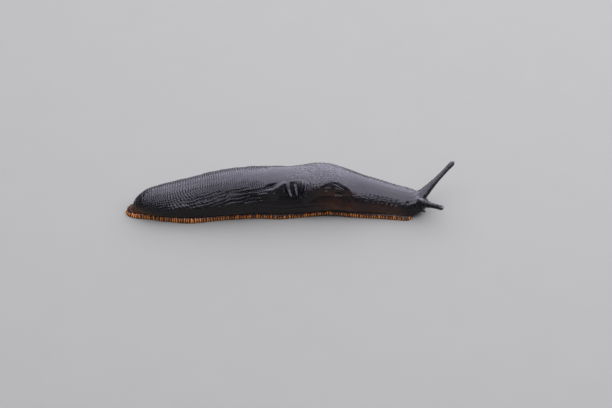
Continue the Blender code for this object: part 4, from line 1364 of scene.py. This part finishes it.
def row_tree():
    """Geometry Nodes that stand copies of a shape in a row along a path, each a little different."""
    tree = bpy.data.node_groups.new("row_along_path", "GeometryNodeTree")
    sockets = tree.interface
    sockets.new_socket("Geometry", in_out="OUTPUT", socket_type="NodeSocketGeometry")
    for name, kind in (("Path", "Geometry"), ("Shape", "Object"), ("Spacing", "Float"),
                       ("Variation", "Float"), ("Lean", "Float"), ("Seed", "Int"), ("Material", "Material")):
        sockets.new_socket(name, in_out="INPUT", socket_type="NodeSocket" + kind)
    given = add_node(tree, "NodeGroupInput").outputs

    def drawn(low, high, number):
        """A number drawn for each copy. Its input and output for decimals come after the vector ones."""
        inputs = {2: low, 3: high, "Seed": sum_of(tree, "ADD", given["Seed"], float(number))}
        return add_node(tree, "FunctionNodeRandomValue", inputs, data_type="FLOAT").outputs[1]

    def named(name, kind):
        """A value that is stored on the path."""
        return add_node(tree, "GeometryNodeInputNamedAttribute", {"Name": name}, data_type=kind).outputs[0]

    low = sum_of(tree, "SUBTRACT", 1.0, given["Variation"])
    high = sum_of(tree, "ADD", 1.0, given["Variation"])
    back = sum_of(tree, "MULTIPLY", given["Lean"], -1.0)
    curve = add_node(tree, "GeometryNodeMeshToCurve", {0: given["Path"]}).outputs[0]
    stops = add_node(tree, "GeometryNodeResampleCurve", {"Curve": curve, "Length": given["Spacing"]},
                     mode="LENGTH").outputs[0]
    shape = add_node(tree, "GeometryNodeObjectInfo", {"Object": given["Shape"]}).outputs["Geometry"]
    facing = add_node(tree, "FunctionNodeAlignRotationToVector", {"Vector": named("outward", "FLOAT_VECTOR")},
                      axis="Y", pivot_axis="Z").outputs[0]
    tilt = add_node(tree, "ShaderNodeCombineXYZ", {1: drawn(back, given["Lean"], 1)}).outputs[0]
    turned = add_node(tree, "FunctionNodeRotateRotation", {0: facing, 1: tilt},
                      rotation_space="LOCAL").outputs[0]
    height = sum_of(tree, "MULTIPLY", named("tall", "FLOAT"), drawn(low, high, 2))
    size = add_node(tree, "ShaderNodeCombineXYZ", {0: drawn(low, high, 3), 1: 1.0, 2: height}).outputs[0]
    copies = add_node(tree, "GeometryNodeInstanceOnPoints",
                      {"Points": stops, "Instance": shape, "Rotation": turned, "Scale": size}).outputs[0]
    toned = add_node(tree, "GeometryNodeStoreNamedAttribute",
                     {"Geometry": copies, "Name": "tone", "Value": drawn(-0.3, 0.6, 4)},
                     data_type="FLOAT", domain="INSTANCE").outputs[0]
    real = add_node(tree, "GeometryNodeRealizeInstances", {0: toned}).outputs[0]
    done = add_node(tree, "GeometryNodeSetMaterial", {"Geometry": real, "Material": given["Material"]})
    add_node(tree, "NodeGroupOutput", {0: done.outputs[0]})
    return tree


def row_along(name, tree, path, outward, tall, **inputs):
    """Runs the tree on a path of plan points, and returns the row as a plain mesh."""
    mesh = bpy.data.meshes.new(name)
    mesh.from_pydata(in_frame(path).tolist(), [(k, k + 1) for k in range(len(path) - 1)], [])
    made = linked(name, mesh)
    keep_values(made, outward=outward, tall=tall)
    row = made.modifiers.new("row", "NODES")
    row.node_group = tree
    for item in tree.interface.items_tree:
        if item.in_out == "INPUT" and item.name in inputs:
            row[item.identifier] = inputs[item.name]
    settle(made, row)
    made.data.shade_smooth()
    return made


def make_fringe():
    """The foot fringe of both sides: a dark strip with orange ribs along it."""
    sizes = bpy.context.scene.slug_fringe
    tree = row_tree()
    shape = rib_shape(RIB_FILL * sizes.rib_pitch / MM)
    orange, dark = rib_material(), furrow_material()
    for name, side in SIDES:
        strip = make_mesh("fringe_strip_" + name, *fringe_strip(side))
        finish_piece(strip, "foot_fringe", dark, "fringe_" + name)
        place, line, out = foot_outline(side)
        path = line + np.array([0, 0, 1]) * edge_lift(place, side)[:, None]
        ribs = row_along("fringe_ribs_" + name, tree, path, out, fringe_share(place), Shape=shape,
                         Spacing=sizes.rib_pitch, Variation=sizes.variation, Lean=RIB_LEAN, Seed=sizes.seed,
                         Material=orange)
        finish_piece(ribs, "foot_fringe", None)
    bpy.data.objects.remove(shape)


def make_beads():
    """Rows of small black beads along the groove above the fringe."""
    sizes = bpy.context.scene.slug_fringe
    tree = row_tree()
    shape = bead_shape()
    material = skin_material()
    for name, side in SIDES:
        for number, (share, start, end) in enumerate(BEAD_ROWS):
            place = np.arange(start, end, 0.5)
            path = body_point(place, side * share, -BEAD_SINK)
            out = path - body_point(place, side * share, -0.5)
            out[:, 2] = 0
            out /= np.linalg.norm(out, axis=1, keepdims=True)
            tall = 1 - 0.35 * ease(place, 90, FOOT_LENGTH)
            beads = row_along(f"groove_beads_{name}_{number + 1}", tree, path, out, tall, Shape=shape,
                              Spacing=sizes.bead_pitch, Variation=2 * sizes.variation, Lean=BEAD_LEAN,
                              Seed=sizes.seed + 10 * number, Material=material)
            finish_piece(beads, "slug_skin", None)
    bpy.data.objects.remove(shape)


def make_sole():
    """The flat sole between the two fringes."""
    turn = np.linspace(0, math.pi, 400)
    places = FOOT_LENGTH * (1 - np.cos(turn)) / 2
    widths = [foot_edge(places, side) - FRINGE_DEPTH for side in (-1, 1)]
    inside = places[np.minimum(*widths) > 0.3]
    rings, margins = [], []
    for place in inside[0] + (inside[-1] - inside[0]) * (1 - np.cos(np.linspace(0, math.pi, 240))) / 2:
        right, left = (float(np.interp(place, places, width)) for width in widths)
        across = np.linspace(-right, left, 31)
        half = np.where(across > 0, left, right)
        lift = edge_lift(place, across)
        height = np.clip(lift - (half - np.abs(across)) / SOLE_RISE, 0, None)
        furrow = SOLE_FURROW * hump(np.abs(across), 0.36 * half, 0.35)
        under = on_plan(place, across, height + furrow)
        over = on_plan(place, across[::-1], SOLE_THICKNESS + height[::-1])
        rings.append(np.concatenate([under, over]))
        margins.append(np.concatenate([ease(np.abs(across) / half, 0.72, 1.0), np.ones(len(across))]))
    points, faces = loft(rings, np.mean(rings[0], axis=0), np.mean(rings[-1], axis=0))
    sole = make_mesh("sole_skin", points, faces)
    keep_values(sole, margin=np.concatenate([*margins, [1, 1]]))
    finish_piece(sole, "sole_skin", sole_material(), "sole")


def make_eyes():
    """A small glossy eye in the tip of each upper tentacle."""
    material = eye_material()
    for name, _ in SIDES:
        points, faces = ball_shell(eye_centre(name), np.full(3, EYE_RADIUS), 20, 28)
        eye = make_mesh("eye_ball_" + name, points, faces)
        finish_piece(eye, "eye", material, "eye_" + name)


def make_camera():
    """Looks along +Y from above, with the tail tip where the photograph has it."""
    tail_tip = in_frame((0, 0, -SHIFT[2]))
    elevation = math.radians(VIEW_ELEVATION)
    column, row = (size / 2 - pixel for size, pixel in zip(PHOTO_SIZE, TAIL_TIP_PIXEL))
    aim = tail_tip + MM * MM_PER_PIXEL * np.array([column, -row / math.sin(elevation), 0])
    ahead = np.array([0, math.cos(elevation), -math.sin(elevation)])
    distance = LENS_MM / SENSOR_MM * PHOTO_SIZE[0] * MM_PER_PIXEL * MM
    data = bpy.data.cameras.new("camera")
    data.lens = LENS_MM
    data.sensor_width = SENSOR_MM
    data.clip_start = 0.01
    camera = linked("camera", data)
    camera.location = Vector(aim - ahead * distance)
    camera.rotation_euler = Vector(ahead).to_track_quat("-Z", "Y").to_euler()
    bpy.context.scene.camera = camera


def make_light(stage):
    """One large soft light that faces the floor, and a faint light from all round."""
    (left, right), (near, far) = SKY_ACROSS, SKY_REACH
    data = bpy.data.lights.new("sky", "AREA")
    data.shape = "RECTANGLE"
    data.size, data.size_y = right - left, far - near
    data.energy = math.pi * data.size * data.size_y * stage.sky_radiance
    data.color = SKY_COLOUR
    sky = linked("sky", data)
    sky.location = ((left + right) / 2, (near + far) / 2, SKY_HEIGHT)
    sky.visible_camera = False
    world = bpy.data.worlds.new("studio")
    world.use_nodes = True
    ground = world.node_tree.nodes["Background"]
    ground.inputs["Color"].default_value = FILL_COLOUR
    ground.inputs["Strength"].default_value = stage.fill
    bpy.context.scene.world = world


def make_stage():
    """A plain pale floor, soft light and the camera."""
    stage = bpy.context.scene.slug_stage
    corners = [(x * FLOOR_REACH, y * FLOOR_REACH, 0) for x, y in ((-1, -1), (1, -1), (1, 1), (-1, 1))]
    mesh = bpy.data.meshes.new("floor")
    mesh.from_pydata(corners, [], [(0, 1, 2, 3)])
    mesh.materials.append(floor_material(stage.floor))
    linked("floor", mesh)
    make_light(stage)
    make_camera()
    bpy.context.scene.view_settings.view_transform = "Standard"


class SLUG_OT_skin(Operator):
    """Build the one skin of the body, head and tentacles"""

    bl_idname = "slug.make_skin"
    bl_label = "Make Skin"

    def execute(self, context):
        make_skin()
        return {"FINISHED"}


class SLUG_OT_mantle(Operator):
    """Build the mantle with its breathing pore"""

    bl_idname = "slug.make_mantle"
    bl_label = "Make Mantle"

    def execute(self, context):
        make_mantle()
        return {"FINISHED"}


class SLUG_OT_fringe(Operator):
    """Build the barred fringe along both edges of the foot"""

    bl_idname = "slug.make_fringe"
    bl_label = "Make Fringe"

    def execute(self, context):
        make_fringe()
        return {"FINISHED"}


class SLUG_OT_beads(Operator):
    """Build the rows of beads above the fringe"""

    bl_idname = "slug.make_beads"
    bl_label = "Make Beads"

    def execute(self, context):
        make_beads()
        return {"FINISHED"}


class SLUG_OT_sole(Operator):
    """Build the flat sole"""

    bl_idname = "slug.make_sole"
    bl_label = "Make Sole"

    def execute(self, context):
        make_sole()
        return {"FINISHED"}


class SLUG_OT_eyes(Operator):
    """Build the two eyes"""

    bl_idname = "slug.make_eyes"
    bl_label = "Make Eyes"

    def execute(self, context):
        make_eyes()
        return {"FINISHED"}


class SLUG_OT_stage(Operator):
    """Set up the floor, the light and the camera"""

    bl_idname = "slug.make_stage"
    bl_label = "Make Stage"

    def execute(self, context):
        make_stage()
        return {"FINISHED"}


class SLUG_PT_panel(Panel):
    """Lists the slug's sizes and colours and the buttons that build it"""

    bl_idname = "SLUG_PT_panel"
    bl_label = "Black Slug"
    bl_space_type = "VIEW_3D"
    bl_region_type = "UI"
    bl_category = "Slug"

    def draw(self, context):
        for group in (context.scene.slug_skin, context.scene.slug_mantle, context.scene.slug_fringe,
                      context.scene.slug_colours, context.scene.slug_stage):
            box = self.layout.box()
            for name in group.__annotations__:
                box.prop(group, name)
        for operator in OPERATORS:
            self.layout.operator(operator.bl_idname)


GROUPS = {"slug_skin": SlugSkinSizes, "slug_mantle": SlugMantleSizes, "slug_fringe": SlugFringeSizes,
          "slug_colours": SlugColours, "slug_stage": SlugStage}
OPERATORS = (SLUG_OT_skin, SLUG_OT_mantle, SLUG_OT_fringe, SLUG_OT_beads, SLUG_OT_sole, SLUG_OT_eyes,
             SLUG_OT_stage)


def register():
    """Registers the classes, and puts each group of properties on the scene."""
    for made in (*GROUPS.values(), *OPERATORS, SLUG_PT_panel):
        bpy.utils.register_class(made)
    for name, group in GROUPS.items():
        setattr(bpy.types.Scene, name, PointerProperty(type=group))


def unregister():
    """Takes back what register does."""
    for name in GROUPS:
        delattr(bpy.types.Scene, name)
    for made in (SLUG_PT_panel, *reversed(OPERATORS), *reversed(GROUPS.values())):
        bpy.utils.unregister_class(made)


def main():
    """Builds every piece and the stage."""
    register()
    bpy.ops.slug.make_skin()
    bpy.ops.slug.make_mantle()
    bpy.ops.slug.make_fringe()
    bpy.ops.slug.make_beads()
    bpy.ops.slug.make_sole()
    bpy.ops.slug.make_eyes()
    bpy.ops.slug.make_stage()


if __name__ == "__main__":
    main()
